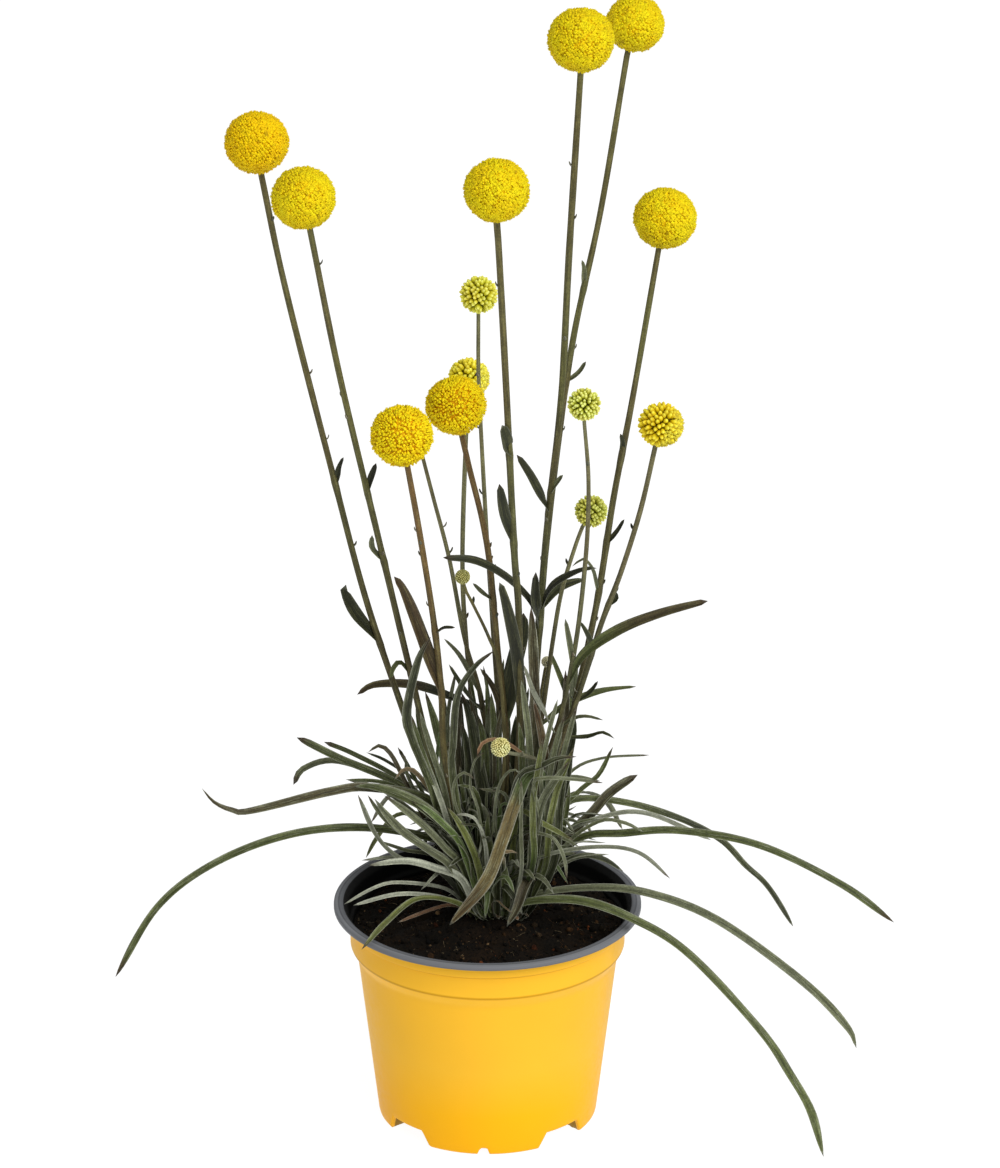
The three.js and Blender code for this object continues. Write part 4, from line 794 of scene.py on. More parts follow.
def pot_piece():
    outside = rounded([
        (2, 0, 0), (FOOT_RADIUS, 0, 1.7), (BODY_TOP_RADIUS, BODY_TOP, 1.6),
        (COLLAR_RADIUS, COLLAR_BOTTOM, 0.7), (COLLAR_RADIUS, COLLAR_TOP, 0.5),
        (SHOULDER_RADIUS, SHOULDER_HEIGHT, 0.5), (NECK_RADIUS, LIP_UNDERSIDE, 0.4),
        (RIM_RADIUS, LIP_UNDERSIDE, 0.7)])
    inside = rounded([
        (RIM_RADIUS, LIP_UNDERSIDE + 0.7, 0), (RIM_RADIUS, RIM_HEIGHT, 0.9),
        (LIP_INNER_RADIUS, RIM_HEIGHT, 0.7), (NECK_RADIUS - WALL, LIP_UNDERSIDE, 0.8),
        (SHOULDER_RADIUS - WALL, SHOULDER_HEIGHT, 0.5), (COLLAR_RADIUS - WALL, COLLAR_TOP - 1, 0.5),
        (COLLAR_RADIUS - WALL, COLLAR_BOTTOM, 0.8), (BODY_TOP_RADIUS - WALL, BODY_TOP, 1.2),
        (FOOT_RADIUS - WALL, WALL, 1.2), (2, WALL, 0)])
    outside = outside[:-(CORNER_STEPS + 1)]      # the last rounding belongs to the grey face
    profile = np.vstack([outside, inside])
    angles = full_turn(POT_SEGMENTS)
    radius, height = profile[:, :1], profile[:, 1:]
    grid = np.stack([radius * np.cos(angles), radius * np.sin(angles), height + 0 * angles], axis=-1)
    shell = with_feet(grid[:len(outside)].reshape(-1, 3), 0.0)
    lining = with_feet(grid[len(outside):].reshape(-1, 3), WALL)
    points = np.vstack([shell, lining, [[0, 0, 0], [0, 0, WALL]]])
    quads, fans = closed_rings(len(profile), POT_SEGMENTS)
    shape = Shape()
    shape.add(points, np.ones(3), quads, fans)
    yellow, grey, under = range(3)
    face_materials = np.full(len(quads) + len(fans), grey, np.int32)
    face_materials[:(len(outside) - 1) * POT_SEGMENTS] = yellow
    # The underside takes the darker yellow of painted shade.
    face_materials[:(np.count_nonzero(outside[:, 1] == 0) - 1) * POT_SEGMENTS] = under
    face_materials[len(quads):len(quads) + POT_SEGMENTS] = under
    pot = shape.piece("pot_shell", [POT_YELLOW, POT_GREY, POT_UNDERSIDE_SHADE], face_materials)
    drill_drains(pot)
    return pot


def drill_drains(pot):
    """Cuts one round drain hole through the roof of each channel."""
    drills = Shape()
    turn = full_turn(DRAIN_SIDES)
    circle = DRAIN_RADIUS * np.column_stack([np.cos(turn), np.sin(turn), 0 * turn])
    for i in range(FOOT_COUNT):
        middle = DRAIN_DISTANCE * heading_at(math.radians(FIRST_CHANNEL_ANGLE + i * 360 / FOOT_COUNT))
        ends = [middle + (0, 0, CHANNEL_HEIGHT - DRILL_REACH), middle + (0, 0, CHANNEL_HEIGHT + DRILL_REACH)]
        points = np.vstack([ends[0] + circle, ends[1] + circle, ends])
        drills.add(points, np.ones(3), *closed_rings(2, DRAIN_SIDES))
    cutter = drills.piece("drills", [POT_YELLOW])
    cut = pot.modifiers.new("drains", "BOOLEAN")
    cut.operation = "DIFFERENCE"
    cut.object = cutter
    drilled = pot.evaluated_get(bpy.context.evaluated_depsgraph_get())
    pot_mesh = bpy.data.meshes.new_from_object(drilled)
    pot.modifiers.clear()
    pot.data = pot_mesh
    bpy.data.objects.remove(cutter)


# ------------------------------------------------------------------ soil

PEAT_TONES = np.array([linear(c) for c in (
    (20, 15, 7), (13, 10, 5), (34, 25, 13), (58, 39, 20), (94, 74, 50), (94, 50, 24))])
PEAT_SHARES = (0.32, 0.24, 0.22, 0.13, 0.05, 0.04)


def soil_height(x, y):
    reach = np.minimum(np.hypot(x - CROWN_CENTRE[0], y - CROWN_CENTRE[1]) / COLLAR_RADIUS, 1)
    waves = 0.7 * np.sin(0.31 * x + 0.7) * np.cos(0.27 * y) + 0.45 * np.sin(0.53 * y - 0.41 * x)
    return SOIL_EDGE_HEIGHT + SOIL_MOUND * (1 - reach ** 2) + waves


def soil_relief(x, y):
    flat = np.stack([x, y, 0 * x], axis=-1)
    coarse = 0.75 * noise(flat, 5.5, 3) + 0.45 * noise(flat, 2.4, 4)
    return soil_height(x, y) - 0.5 + coarse + 0.28 * noise(flat, 1.1, 5)


def rock_template(seed, sides):
    """A rough crumb as points and triangles, about 1 across."""
    points, triangles = ball_template(sides, round(0.65 * sides))
    rough = 1 + 0.34 * noise(points * 0.5, 0.42, seed) + 0.2 * noise(points * 0.5, 0.2, seed + 9)
    return points * 0.5 * rough[:, None] * (1, 0.85, 0.7), triangles


def soil_piece():
    dice = np.random.default_rng(SEEDS["soil"])
    shape = Shape()
    rings = SOIL_RADIUS * (np.arange(SOIL_RINGS) + 0.5) / (SOIL_RINGS - 0.5)
    angles = full_turn(SOIL_SEGMENTS)
    x, y = np.outer(rings, np.cos(angles)), np.outer(rings, np.sin(angles))
    top = np.stack([x, y, soil_relief(x, y)], axis=-1).reshape(-1, 3)
    side = [(SOIL_RADIUS, SOIL_EDGE_HEIGHT - 3), (SOIL_RADIUS, COLLAR_BOTTOM + 0.5),
            (BODY_TOP_RADIUS - WALL - SOIL_GAP, BODY_TOP), (FOOT_RADIUS - WALL + 1.6, SOIL_BOTTOM),
            (2, SOIL_BOTTOM)]
    skirt = np.vstack([np.column_stack([r * np.cos(angles), r * np.sin(angles), np.full(len(angles), z)])
                       for r, z in side])
    summit = soil_relief(np.zeros(1), np.zeros(1))[0]
    points = np.vstack([top, skirt, [[0, 0, summit], [0, 0, SOIL_BOTTOM]]])
    quads, caps = closed_rings(SOIL_RINGS + len(side), SOIL_SEGMENTS, flipped=True)
    ruddy = 0.5 + 0.5 * noise(points, 9, 8)
    tints = mix(PEAT_TONES[0], PEAT_TONES[3], 0.35 * smooth(ruddy * 1.3 - 0.3))
    shape.add(points, tints, quads, caps)
    scatter_crumbs(shape, dice, CLOD_COUNT, 10, CLOD_SIZES)
    scatter_crumbs(shape, dice, CRUMB_COUNT, 6, CRUMB_SIZES)
    scatter_fibres(shape, dice)
    return shape.piece("potting_soil", [PEAT])


def soil_places(dice, count):
    """Places spread evenly over the soil."""
    radius = (SOIL_RADIUS - 1.2) * np.sqrt(dice.random(count))
    angle = 2 * math.pi * dice.random(count)
    x, y = radius * np.cos(angle), radius * np.sin(angle)
    return np.column_stack([x, y, soil_relief(x, y)])


def scatter_crumbs(shape, dice, count, sides, sizes):
    share = count // CRUMB_KINDS
    for kind in range(CRUMB_KINDS):
        points, triangles = rock_template(20 * kind + sides, sides)
        places = soil_places(dice, share)
        size = sizes[0] + (sizes[1] - sizes[0]) * dice.random(share) ** 2
        places[:, 2] += 0.12 * size
        frames = frames_around(unit(dice.normal(size=(share, 3))), 2 * math.pi * dice.random(share))
        tint = PEAT_TONES[dice.choice(len(PEAT_TONES), share, p=PEAT_SHARES)]
        tint = tint * (0.42 + 1.8 * dice.random((share, 1)) ** 2)
        tints = np.repeat(tint[:, None], len(points), axis=1)
        shape.scatter((points, triangles), frames, np.repeat(size[:, None], 3, axis=1), places, tints)


def scatter_fibres(shape, dice):
    """Thin bits of root and peat moss that lie on the soil."""
    for start in soil_places(dice, FIBRE_COUNT):
        heading = 2 * math.pi * dice.random()
        length = 1 + 5 * dice.random() ** 3
        steps = np.linspace(0, 1, FIBRE_POINTS)
        bend = heading + 1.4 * (dice.random() - 0.5) * steps
        x = start[0] + np.cumsum(np.cos(bend)) * length / FIBRE_POINTS
        y = start[1] + np.cumsum(np.sin(bend)) * length / FIBRE_POINTS
        if np.hypot(x, y).max() > SOIL_RADIUS - 0.6:
            continue
        line = np.column_stack([x, y, soil_relief(x, y) + 0.35 + 0.3 * np.sin(3 * steps)])
        tone = linear(FIBRE_TONES[dice.integers(3)])
        radii = np.linspace(*FIBRE_RADII, FIBRE_POINTS)
        add_tube(shape, line, radii, 3, np.repeat(tone[None], FIBRE_POINTS, axis=0))


# ------------------------------------------------------------------ stems

STEM_SIDES = 14
STEM_SPACING = 3.2               # between the sections of a stem
STEM_SECTIONS = (30, 120)        # fewest and most
STEM_END = 0.35                  # from a globe's middle, as a share of its radius
SCARS_ON_A_STEM = 5


def line_frames(line, facing):
    """Directions across and outward at each place of a line."""
    tangent = unit(np.gradient(line, axis=0))
    across = unit(np.cross(tangent, facing))
    return across, np.cross(across, tangent)


def add_tube(shape, line, radii, sides, tints, ribs=0.0):
    """A closed tube along a line, with its own radius and tint at each place."""
    across, outward = line_frames(line, (0.2, -1, 0.1))
    turn = full_turn(sides)
    along = lengths_along(line)
    rib = 1 + ribs * np.cos(6 * turn[None] + 0.02 * along[:, None]) if ribs else np.ones((len(line), sides))
    reach = radii[:, None] * rib
    points = (line[:, None] + across[:, None] * (reach * np.cos(turn))[..., None]
              + outward[:, None] * (reach * np.sin(turn))[..., None])
    points = np.vstack([points.reshape(-1, 3), line[:1], line[-1:]])
    colours = np.vstack([np.repeat(tints, sides, axis=0), tints[:1], tints[-1:]])
    girth = np.mean(radii) * turn
    places = np.stack(np.broadcast_arrays(girth[None], along[:, None]), axis=-1).reshape(-1, 2)
    shape.add(points, colours, *closed_rings(len(line), sides), np.vstack([places, places[:1], places[-1:]]))


def stem_core(stem):
    """The stem's line as the CAD has it, with few places."""
    depth = max(stem["size"] - 5, STEM_END * stem["size"])
    end = stem["head"] + unit(stem["through"][-1] - stem["head"]) * depth
    return np.vstack([curve_through([stem["base"], *stem["through"]], 9), end])


def stem_curve(stem):
    """The stem's smooth line, from down in the crown to inside its globe."""
    root = CROWN_CENTRE + (stem["base"] - CROWN_CENTRE) * (0.7, 0.7, 0)
    inside = stem["head"] + unit(stem["through"][-1] - stem["head"]) * STEM_END * stem["size"]
    line = curve_through([root, stem["base"], *stem["through"]], 160)
    return even_line(np.vstack([line, inside]), STEM_SPACING, *STEM_SECTIONS)


def stem_tints(stem, line, along):
    """Colours along a stem: greener at its foot, lighter towards its globe, brown in places."""
    share = along / along[-1]
    low, high = (linear(tone) for tone in STEM_TONES[stem["bark"]])
    tints = mix(low[None], high[None], smooth((share - 0.3) / 0.65))
    tints = mix(tints, linear(STEM_FOOT), 0.4 * smooth(1 - share / 0.38))
    tints = mix(tints, linear(STEM_BROWN), 0.4 * smooth(0.5 + 0.9 * noise(line, 34, 17)))
    patch = 1 + 0.16 * noise(line, 26, 11) + 0.1 * noise(line, 9, 12)
    return tints * patch[:, None]


def stem_piece(index, stem, leaves):
    shape = Shape()
    line, along = stem_curve(stem)
    share = along / along[-1]
    radii = stem["radii"][0] + (stem["radii"][1] - stem["radii"][0]) * share
    radii = radii * (1 + 0.05 * noise(line, 14, 21))
    for leaf in leaves:
        near = np.abs(line[:, 2] - leaf["line"][0][2])
        radii = radii * (1 + 0.16 * np.exp(-(near / 2.6) ** 2))
    add_tube(shape, line, radii, STEM_SIDES, stem_tints(stem, line, along), ribs=0.05)
    for number, leaf in enumerate(leaves):
        add_blade(shape, leaf, BLADE_SEEDS["on_stem"] + 10 * index + number)
    for number, scar in enumerate(leaf_scars(index, line)):
        add_blade(shape, scar, BLADE_SEEDS["scar"] + 10 * index + number, SCAR_SPACING)
    return shape.piece(f"stem_{index + 1:02d}", [STEM])


def leaf_scars(index, line):
    """Tiny dry scales that stand off the stem here and there."""
    dice = np.random.default_rng(SEEDS["scars"] + index)
    scars = []
    for _ in range(SCARS_ON_A_STEM):
        start = line[int(len(line) * (0.3 + 0.62 * dice.random()))]
        away = heading_at(2 * math.pi * dice.random())
        places = start + np.outer((0.6, 1.7, 2.2), away) + np.outer((0, 1.1, 2.6), (0, 0, 1))
        tone = ("slate", "brown", "bronze")[dice.integers(3)]
        scars.append(free_leaf(1.3, tone, -away + (0, 0, 0.3), places, 8))
    return scars


# ------------------------------------------------------------------ leaves

LEAF_CLEARANCE = 0.6
TAPER = 5                        # length of a leaf's narrowing end in widths
# Basal leaves, counted from 0, whose ends are longer or blunter.
LEAF_ENDS = {1: 14, 6: 1.6, 7: 1.6, 8: 1.6, 10: 1.6, 22: 2.4, 38: 1.6}
SWAY_STEP = 1.5                  # how much further a leaf bends aside at each second try
SWAY_STEPS = 16
SWAY_DIRECTION = np.array((0, 0.928, -0.373))
FRONT_FACING = np.array((0, -0.55, 0.84))
UPWARD = np.array((0.1, 0.15, 0.98))
BASE_POINTS_IN_CROWN = 6
LEAF_FOOT_HEIGHT = 93            # of the upright leaves
BLADE_SECTIONS = (9, 64)         # fewest and most
BLADE_SPACING = 2.9              # between the sections of a leaf
INNER_SPACING = 3.4
SCAR_SPACING = 0.5


def segments_of(line, radius):
    """Starts, ends and radii of a line's segments, as an obstacle."""
    return line[:-1], line[1:], np.full(len(line) - 1, float(radius))


def is_clear(points, half_width, obstacles):
    starts, ends, radii = (np.concatenate(part) for part in zip(*obstacles))
    step = ends - starts
    share = np.einsum("psk,sk->ps", points[:, None] - starts, step) / (step ** 2).sum(axis=1)
    nearest = starts + np.clip(share, 0, 1)[..., None] * step
    distance = np.linalg.norm(points[:, None] - nearest, axis=-1)
    return bool((distance > half_width + radii + LEAF_CLEARANCE).all())


def bent_clear(points, half_width, obstacles, first):
    """Bends a leaf aside in growing steps until it passes everything that grows beside it."""
    weight = np.minimum(1, np.arange(len(points)) / 2)[:, None]
    for step in range(SWAY_STEPS + 1):
        size = math.ceil(step / 2) * SWAY_STEP * (1 if step % 2 == 0 else -1)
        moved = points + weight * size * SWAY_DIRECTION
        if is_clear(curve_through(moved, 24)[first:], half_width, obstacles):
            return moved
    return points


def back_leaf(i):
    """One of the leaves at the back, which fan out evenly with small steady changes."""
    wave = 0.5 + 0.5 * math.sin(2.4 * i + 0.6)
    angle = math.radians(np.interp(i / (BACK_LEAF_COUNT - 1), (0, 1), BACK_FAN))
    reach = np.interp(wave, (0, 1), BACK_REACH)
    rise = np.interp(0.5 + 0.5 * math.cos(1.7 * i), (0, 1), BACK_RISE)

    def place(share, height):
        out = BACK_START + (reach - BACK_START) * share
        swing = angle + 0.12 * share * math.sin(3.1 * i)
        return CROWN_CENTRE * (1, 1, 0) + out * heading_at(swing) + (0, 0, height)

    path = [place(0, 92), place(0.18, 100 + 0.7 * rise), place(0.5, 100 + rise),
            place(0.8, 98 + 0.75 * rise), place(1, 92 + 0.35 * rise)]
    tone = ("olive", "grey", "green", "olive", "dark")[i % 5]
    return (np.interp(wave, (0, 1), BACK_WIDTH), tone, *path)


def from_the_crown(points):
    """Adds the stretch of leaf between the crown's middle and the first point."""
    root = CROWN_CENTRE + (points[0] - CROWN_CENTRE) * (0.5, 0.5, 0) + (0, 0, -1)
    return np.vstack([root, points])


def placed_leaves():
    """The leaves of the clump, and those of each stem, with the bends that keep them clear."""
    stems = [segments_of(stem_core(stem), np.mean(stem["radii"])) for stem in STEMS]
    globes = [segments_of(stem["head"] + ((0, 0, 0), (0, 0, 0.1)), stem["size"]) for stem in STEMS]

    def from_crown(rows, facing=FRONT_FACING):
        return [placed_leaf(width, tone, path, stems + globes, BASE_POINTS_IN_CROWN, facing)
                for width, tone, *path in rows]

    basal = from_crown(BASAL_LEAVES)
    for number, taper in LEAF_ENDS.items():
        basal[number]["taper"] = taper
    basal += from_crown([back_leaf(i) for i in range(BACK_LEAF_COUNT)], UPWARD)
    owned = [[] for _ in STEMS]
    for number, start, width, tone, *path in STEM_LEAVES:
        owner = number - 1
        root = point_at_height(stem_curve(STEMS[owner])[0], start)
        others = [part for place, part in enumerate(stems) if place != owner]
        others += [leaf["obstacle"] for leaf in basal]
        others += [leaf["obstacle"] for place, group in enumerate(owned) for leaf in group if place != owner]
        owned[owner].append(placed_leaf(width, tone, [root, *path], others + globes, 0, FRONT_FACING))
    return basal + from_crown([*SMALL_LEAVES, *upright_leaves()]), owned


def placed_leaf(width, tone, path, obstacles, first, facing):
    """A leaf bent clear of what grows beside it. One from the crown starts in the crown's middle."""
    moved = bent_clear(np.array(path, float), width / 2, obstacles, first)
    whole = from_the_crown(moved) if first else moved
    leaf = free_leaf(width, tone, facing, whole, 120)
    leaf.update(obstacle=segments_of(curve_through(moved, 8), width / 2), on_stem=not first)
    return leaf


def free_leaf(width, tone, facing, places, steps=60):
    """A leaf that may touch its neighbours."""
    return dict(width=width, tone=tone, facing=facing, line=curve_through(places, steps), on_stem=False,
                taper=TAPER)


def blade_outline(t, taper, lanceolate):
    """Share of the full width along a leaf.

    Leaves of the clump have a slim base, even sides and a tapering end. Those on stems are widest in
    the middle."""
    if lanceolate:
        return 1.25 * (0.2 + 0.8 * np.sin(math.pi * np.minimum(1, 0.08 + 0.86 * t)) ** 0.8)
    body = (0.66 + 0.34 * smooth(t / 0.3)) * (1 - 0.16 * t)
    end = np.clip((t - 1 + taper) / taper, 0, 1)
    return body * np.clip(1 - end ** 2, 0, 1) ** 0.75


# Places across a leaf, on its upper side and back along its underside. Narrow leaves have fewer.
BLADE_TOP = np.array((-1, -0.84, -0.5, -0.16, 0, 0.16, 0.5, 0.84, 1))
BLADE_UNDER = np.array((0.86, 0.4, 0, -0.4, -0.86))
NARROW_TOP = np.array((-1, -0.8, 0, 0.8, 1))
NARROW_UNDER = np.array((0.7, 0, -0.7))
NARROW_BLADE = 3.0


def add_blade(shape, leaf, seed, spacing=BLADE_SPACING):
    """One leaf: a channelled strap with raised edges, a groove along its middle and a keel below."""
    dice = np.random.default_rng(seed)
    narrow = leaf["width"] < NARROW_BLADE
    above, under = (NARROW_TOP, NARROW_UNDER) if narrow else (BLADE_TOP, BLADE_UNDER)
    line, along = even_line(leaf["line"], spacing, *BLADE_SECTIONS)
    t = along / along[-1]
    across, outward = line_frames(line, leaf["facing"])
    twist = (dice.random() - 0.5) * 0.7 * smooth(t) + 0.12 * np.sin(7 * t + 6 * dice.random())
    cos, sin = np.cos(twist)[:, None], np.sin(twist)[:, None]
    across, outward = across * cos + outward * sin, outward * cos - across * sin
    taper = min(0.55, leaf["taper"] * leaf["width"] / along[-1])
    half = 0.56 * leaf["width"] * blade_outline(t, taper, leaf["on_stem"])
    half = half * (1 + 0.05 * noise(line, 12, seed))
    fold = 0.22 + 0.16 * dice.random()
    top = half[:, None] * fold * np.abs(above) ** 1.5
    top = top - (0.10 + 0.04 * half[:, None]) * np.exp(-(above / 0.14) ** 2)
    thickness = 0.26 + 0.34 * np.exp(-(under / 0.3) ** 2)
    bottom = half[:, None] * fold * np.abs(under) ** 1.5
    bottom = bottom - np.minimum(thickness, 0.5 * half[:, None] + 0.08)
    lateral = np.hstack([half[:, None] * above, half[:, None] * under])
    height = np.hstack([top, bottom])
    sides = lateral.shape[1]
    points = (line[:, None] + across[:, None] * lateral[..., None]
              + outward[:, None] * height[..., None])
    points = np.vstack([points[:-1].reshape(-1, 3), line[:1], line[-1:]])
    edge = np.abs(np.concatenate([above, under]))
    below = np.concatenate([np.zeros(len(above)), np.ones(len(under))])
    tints = blade_tints(leaf, line, t, edge, below, dice)
    tints = np.vstack([tints[:-1].reshape(-1, 3), tints[0, :1], tints[-1, :1]])
    places = np.stack(np.broadcast_arrays(lateral[:-1], along[:-1, None]), axis=-1).reshape(-1, 2)
    shape.add(points, tints, *closed_rings(len(line) - 1, sides, flipped=True),
              np.vstack([places, places[:2] * 0]))


def blade_tints(leaf, line, t, edge, below, dice):
    """Colours over a leaf: paler at its base and underside, light margins of white hairs with a painted
    sheen, painted shade down the groove of its middle, brown at some ends.

    Where the tone has several names the leaf turns from each to the next."""
    names = leaf["tone"].split(">")
    flat = 0 * edge
    tints = linear(LEAF_TONES[names[0]]) + 0 * (t[:, None, None] + flat[:, None])
    for number, name in enumerate(names[1:]):
        turned = smooth(((t * (len(names) - 1) - number) - 0.36) / 0.28)
        tints = mix(tints, linear(LEAF_TONES[name]), turned[:, None] + flat)
    tints = tints * (0.8 + 0.4 * dice.random())
    shift = 0.5 + 0.5 * noise(line, 22, 31)
    tints = mix(tints, linear(LEAF_TONES["moss"]), 0.22 * shift[:, None] + flat)
    if names[0] not in ("dry", "straw", "brown", "umber", "slate"):
        tints = mix(tints, linear(PALE_BASE), 0.4 * smooth(1 - t / 0.15)[:, None] + flat)
    # Light margins: white hairs, with a painted sheen on them.
    margin_hair_and_sheen = 0.3 if leaf["on_stem"] or names[0] == "slate" else 0.85
    tints = mix(tints, linear(LEAF_TONES["silver"]), 0.22 * below + flat + 0 * t[:, None])
    tints = mix(tints, linear(HAIRY_MARGIN_AND_SHEEN), margin_hair_and_sheen * smooth((edge - 0.8) / 0.2) + 0 * t[:, None])
    # Painted shade darkens the upper side along the groove of its middle.
    tints = tints * (1 - 0.35 * np.exp(-(edge / 0.3) ** 2) * (1 - below))[..., None]
    if dice.random() < 0.6:
        withered = 0.85 * smooth((t - 0.94) / 0.04)
        tints = mix(tints, linear(WITHERED), withered[:, None] + flat)
    return tints


FILLER_COUNT = 130
FILLER_TONES = ("olive", "green", "dark", "grey", "silver", "olive>grey", "dark", "green", "grey", "bronze")
SHEATH_COUNT = 130
SHEATH_TONES = ("straw", "dry", "brown", "brown", "dark", "green")
CURL_COUNT = 46
CURL_TONES = ("grey", "green", "olive", "dark>olive", "moss>olive", "silver>grey", "green>grey")
UPRIGHT_COUNT = 70
UPRIGHT_TONES = ("olive", "olive", "dark>olive", "grey", "green>grey", "moss>olive", "bronze", "silver>grey")


def upright_leaves():
    """Inner leaves that stand close together among the stems."""
    dice = np.random.default_rng(SEEDS["uprights"])
    leaves = []
    for i in range(UPRIGHT_COUNT):
        side = np.array((-20 + 55 * dice.random(), 3 + 24 * dice.random(), 0))
        foot = 0.55 * CROWN_CENTRE * (1, 1, 0) + 0.45 * side
        lean = np.array((8, 8, 0)) * (dice.random(3) - 0.5)
        tall = 43 + 65 * dice.random()
        middles = (foot, 0.3 * foot + 0.7 * side, side, side + lean)
        path = [middle + (0, 0, LEAF_FOOT_HEIGHT + share * tall)
                for middle, share in zip(middles, (0, 0.36, 0.74, 1))]
        leaves.append((1.4 + 2.0 * dice.random(), UPRIGHT_TONES[i % len(UPRIGHT_TONES)], *path))
    return leaves


def filler_leaves():
    """Short inner leaves that crowd the middle of the clump."""
    dice = np.random.default_rng(SEEDS["fillers"])
    leaves = []
    for i in range(FILLER_COUNT):
        angle = GOLDEN_TURN * i + 0.3 * (dice.random() - 0.5)
        heading = heading_at(angle)
        reach = 8 + 30 * dice.random()
        rise = 64 - 0.9 * reach + 14 * (dice.random() - 0.5)
        swing = heading_at(angle + math.pi / 2) * 8 * (dice.random() - 0.5)
        start = 3 + 9 * math.sqrt(dice.random())
        end = rise * (0.7 + 0.4 * dice.random())
        places = [CROWN_CENTRE + heading * start + (0, 0, -1),
                  CROWN_CENTRE + heading * (start + 0.2 * reach) + (0, 0, 8 + 0.4 * rise),
                  CROWN_CENTRE + heading * (start + 0.6 * reach) + 0.5 * swing + (0, 0, 8 + 0.85 * rise),
                  CROWN_CENTRE + heading * (start + reach) + swing + (0, 0, 6 + end)]
        leaves.append(free_leaf(1.4 + 2.2 * dice.random(), FILLER_TONES[i % len(FILLER_TONES)],
                                UPWARD + heading * -0.8, places))
    return leaves


def curled_leaves():
    """Thin inner leaves at the front whose tips curl over."""
    dice = np.random.default_rng(SEEDS["curls"])
    leaves = []
    for i in range(CURL_COUNT):
        foot = CROWN_CENTRE + (-10 + 22 * dice.random(), -10 - 3 * dice.random(), 5)
        lean = 18 * (2 * dice.random() - 1)
        out = -3 - 15 * dice.random()
        tall = 22 + 44 * dice.random()
        curl = math.copysign(1 + 2.5 * dice.random(), lean)
        drop = 1.2 * abs(curl) if dice.random() < 0.3 else -1.5
        places = foot + np.array(((0, 0, 0), (0.3 * lean, 0.4 * out, 0.55 * tall),
                                  (0.75 * lean, 0.85 * out, 0.93 * tall),
                                  (lean + curl, out - 1.5, tall),
                                  (lean + 2.2 * curl, out - 3, tall - drop)))
        leaves.append(free_leaf(1.2 + 1.3 * dice.random(), CURL_TONES[i % len(CURL_TONES)], FRONT_FACING,
                                places))
    return leaves


def dry_sheaths():
    """Old papery leaf bases and dry bits round the foot of the clump."""
    dice = np.random.default_rng(SEEDS["sheaths"])
    leaves = []
    for i in range(SHEATH_COUNT):
        heading = heading_at(GOLDEN_TURN * i)
        start = 8.5 + 6 * dice.random()
        reach = 2 + 9 * dice.random() ** 2
        rise = 3 + 9 * dice.random()
        places = [CROWN_CENTRE + heading * start + (0, 0, 1.5),
                  CROWN_CENTRE + heading * (start + 0.5 * reach) + (0, 0, 3 + 0.8 * rise),
                  CROWN_CENTRE + heading * (start + reach) + (0, 0, 3 + rise * (0.5 + 0.6 * dice.random()))]
        tone = SHEATH_TONES[dice.integers(6)]
        leaves.append(free_leaf(1.4 + 1.8 * dice.random(), tone, UPWARD + heading * -0.6, places, 24))
    return leaves


def add_crown(shape):
    """The short woody body under the leaves."""
    points, triangles = ball_template(24, 12)
    bulge = 1 + 0.12 * noise(points * 10, 4.2, 51)
    placed = CROWN_CENTRE + points * bulge[:, None] * CROWN_RADII
    low, high = (linear(tone) for tone in CROWN_TONES)
    tone = mix(low, high, 0.5 + 0.5 * noise(placed, 5, 52))
    shape.add(placed, tone, triangles=triangles)


def ball_template(sides, rings):
    """A ball of radius 1 as points and triangles."""
    polar = np.linspace(0, math.pi, rings + 1)[1:-1]
    turn = full_turn(sides)
    ring = np.stack([np.outer(np.sin(polar), np.cos(turn)), np.outer(np.sin(polar), np.sin(turn)),
                     np.repeat(np.cos(polar)[:, None], sides, axis=1)], axis=-1).reshape(-1, 3)
    points = np.vstack([ring, [[0, 0, 1], [0, 0, -1]]])
    quads = ring_quads(rings - 1, sides)
    triangles = np.vstack([quads[:, (0, 2, 1)], quads[:, (0, 3, 2)]])
    last = (rings - 2) * sides
    caps = [fan(len(ring), 0, sides, True), fan(len(ring) + 1, last, sides, False)]
    return points, np.vstack([triangles, *caps])


def clump_piece(placed):
    shape = Shape()
    add_crown(shape)
    kinds = (("basal", placed, BLADE_SPACING), ("filler", filler_leaves(), INNER_SPACING),
             ("sheath", dry_sheaths(), INNER_SPACING), ("curl", curled_leaves(), BLADE_SPACING))
    for kind, leaves, spacing in kinds:
        for number, leaf in enumerate(leaves):
            add_blade(shape, leaf, BLADE_SEEDS[kind] + number, spacing)
    return shape.piece("leaf_clump", [LEAF])


# ------------------------------------------------------------------ globes


def floret_template():
    """One open floret: a small tube that ends in five lobes, with its style in the middle.

    Returns the points, the triangles, and for each point how far up the floret it is."""
    fifth = np.arange(5) * 2 * math.pi / 5
    half = fifth + math.pi / 5

    def ring(angles, radius, height):
        return np.column_stack([radius * np.cos(angles), radius * np.sin(angles), np.full(5, height)])

    points = np.vstack([ring(fifth, 0.2, 0.0), ring(fifth, 0.54, 1.0), ring(half, 0.32, 0.9),
                        [[0, 0, 0.84], [0.11, 0, 0.84], [-0.06, 0.1, 0.84], [-0.06, -0.1, 0.84],
                         [0, 0, 1.3]]])
    triangles = []
    for i in range(5):
        after = (i + 1) % 5
        base, lobe, notch, next_lobe = i, 5 + i, 10 + i, 5 + after
        triangles += [(base, notch, lobe), (base, after, notch), (after, next_lobe, notch)]
        triangles += [(lobe, notch, 15), (notch, next_lobe, 15)]
    triangles += [(16, 17, 19), (17, 18, 19), (18, 16, 19)]
    rise = np.concatenate([np.zeros(5), np.ones(5), np.full(5, 0.9), [0.8], np.full(3, 0.9), [0.5]])
    return points, np.array(triangles), rise


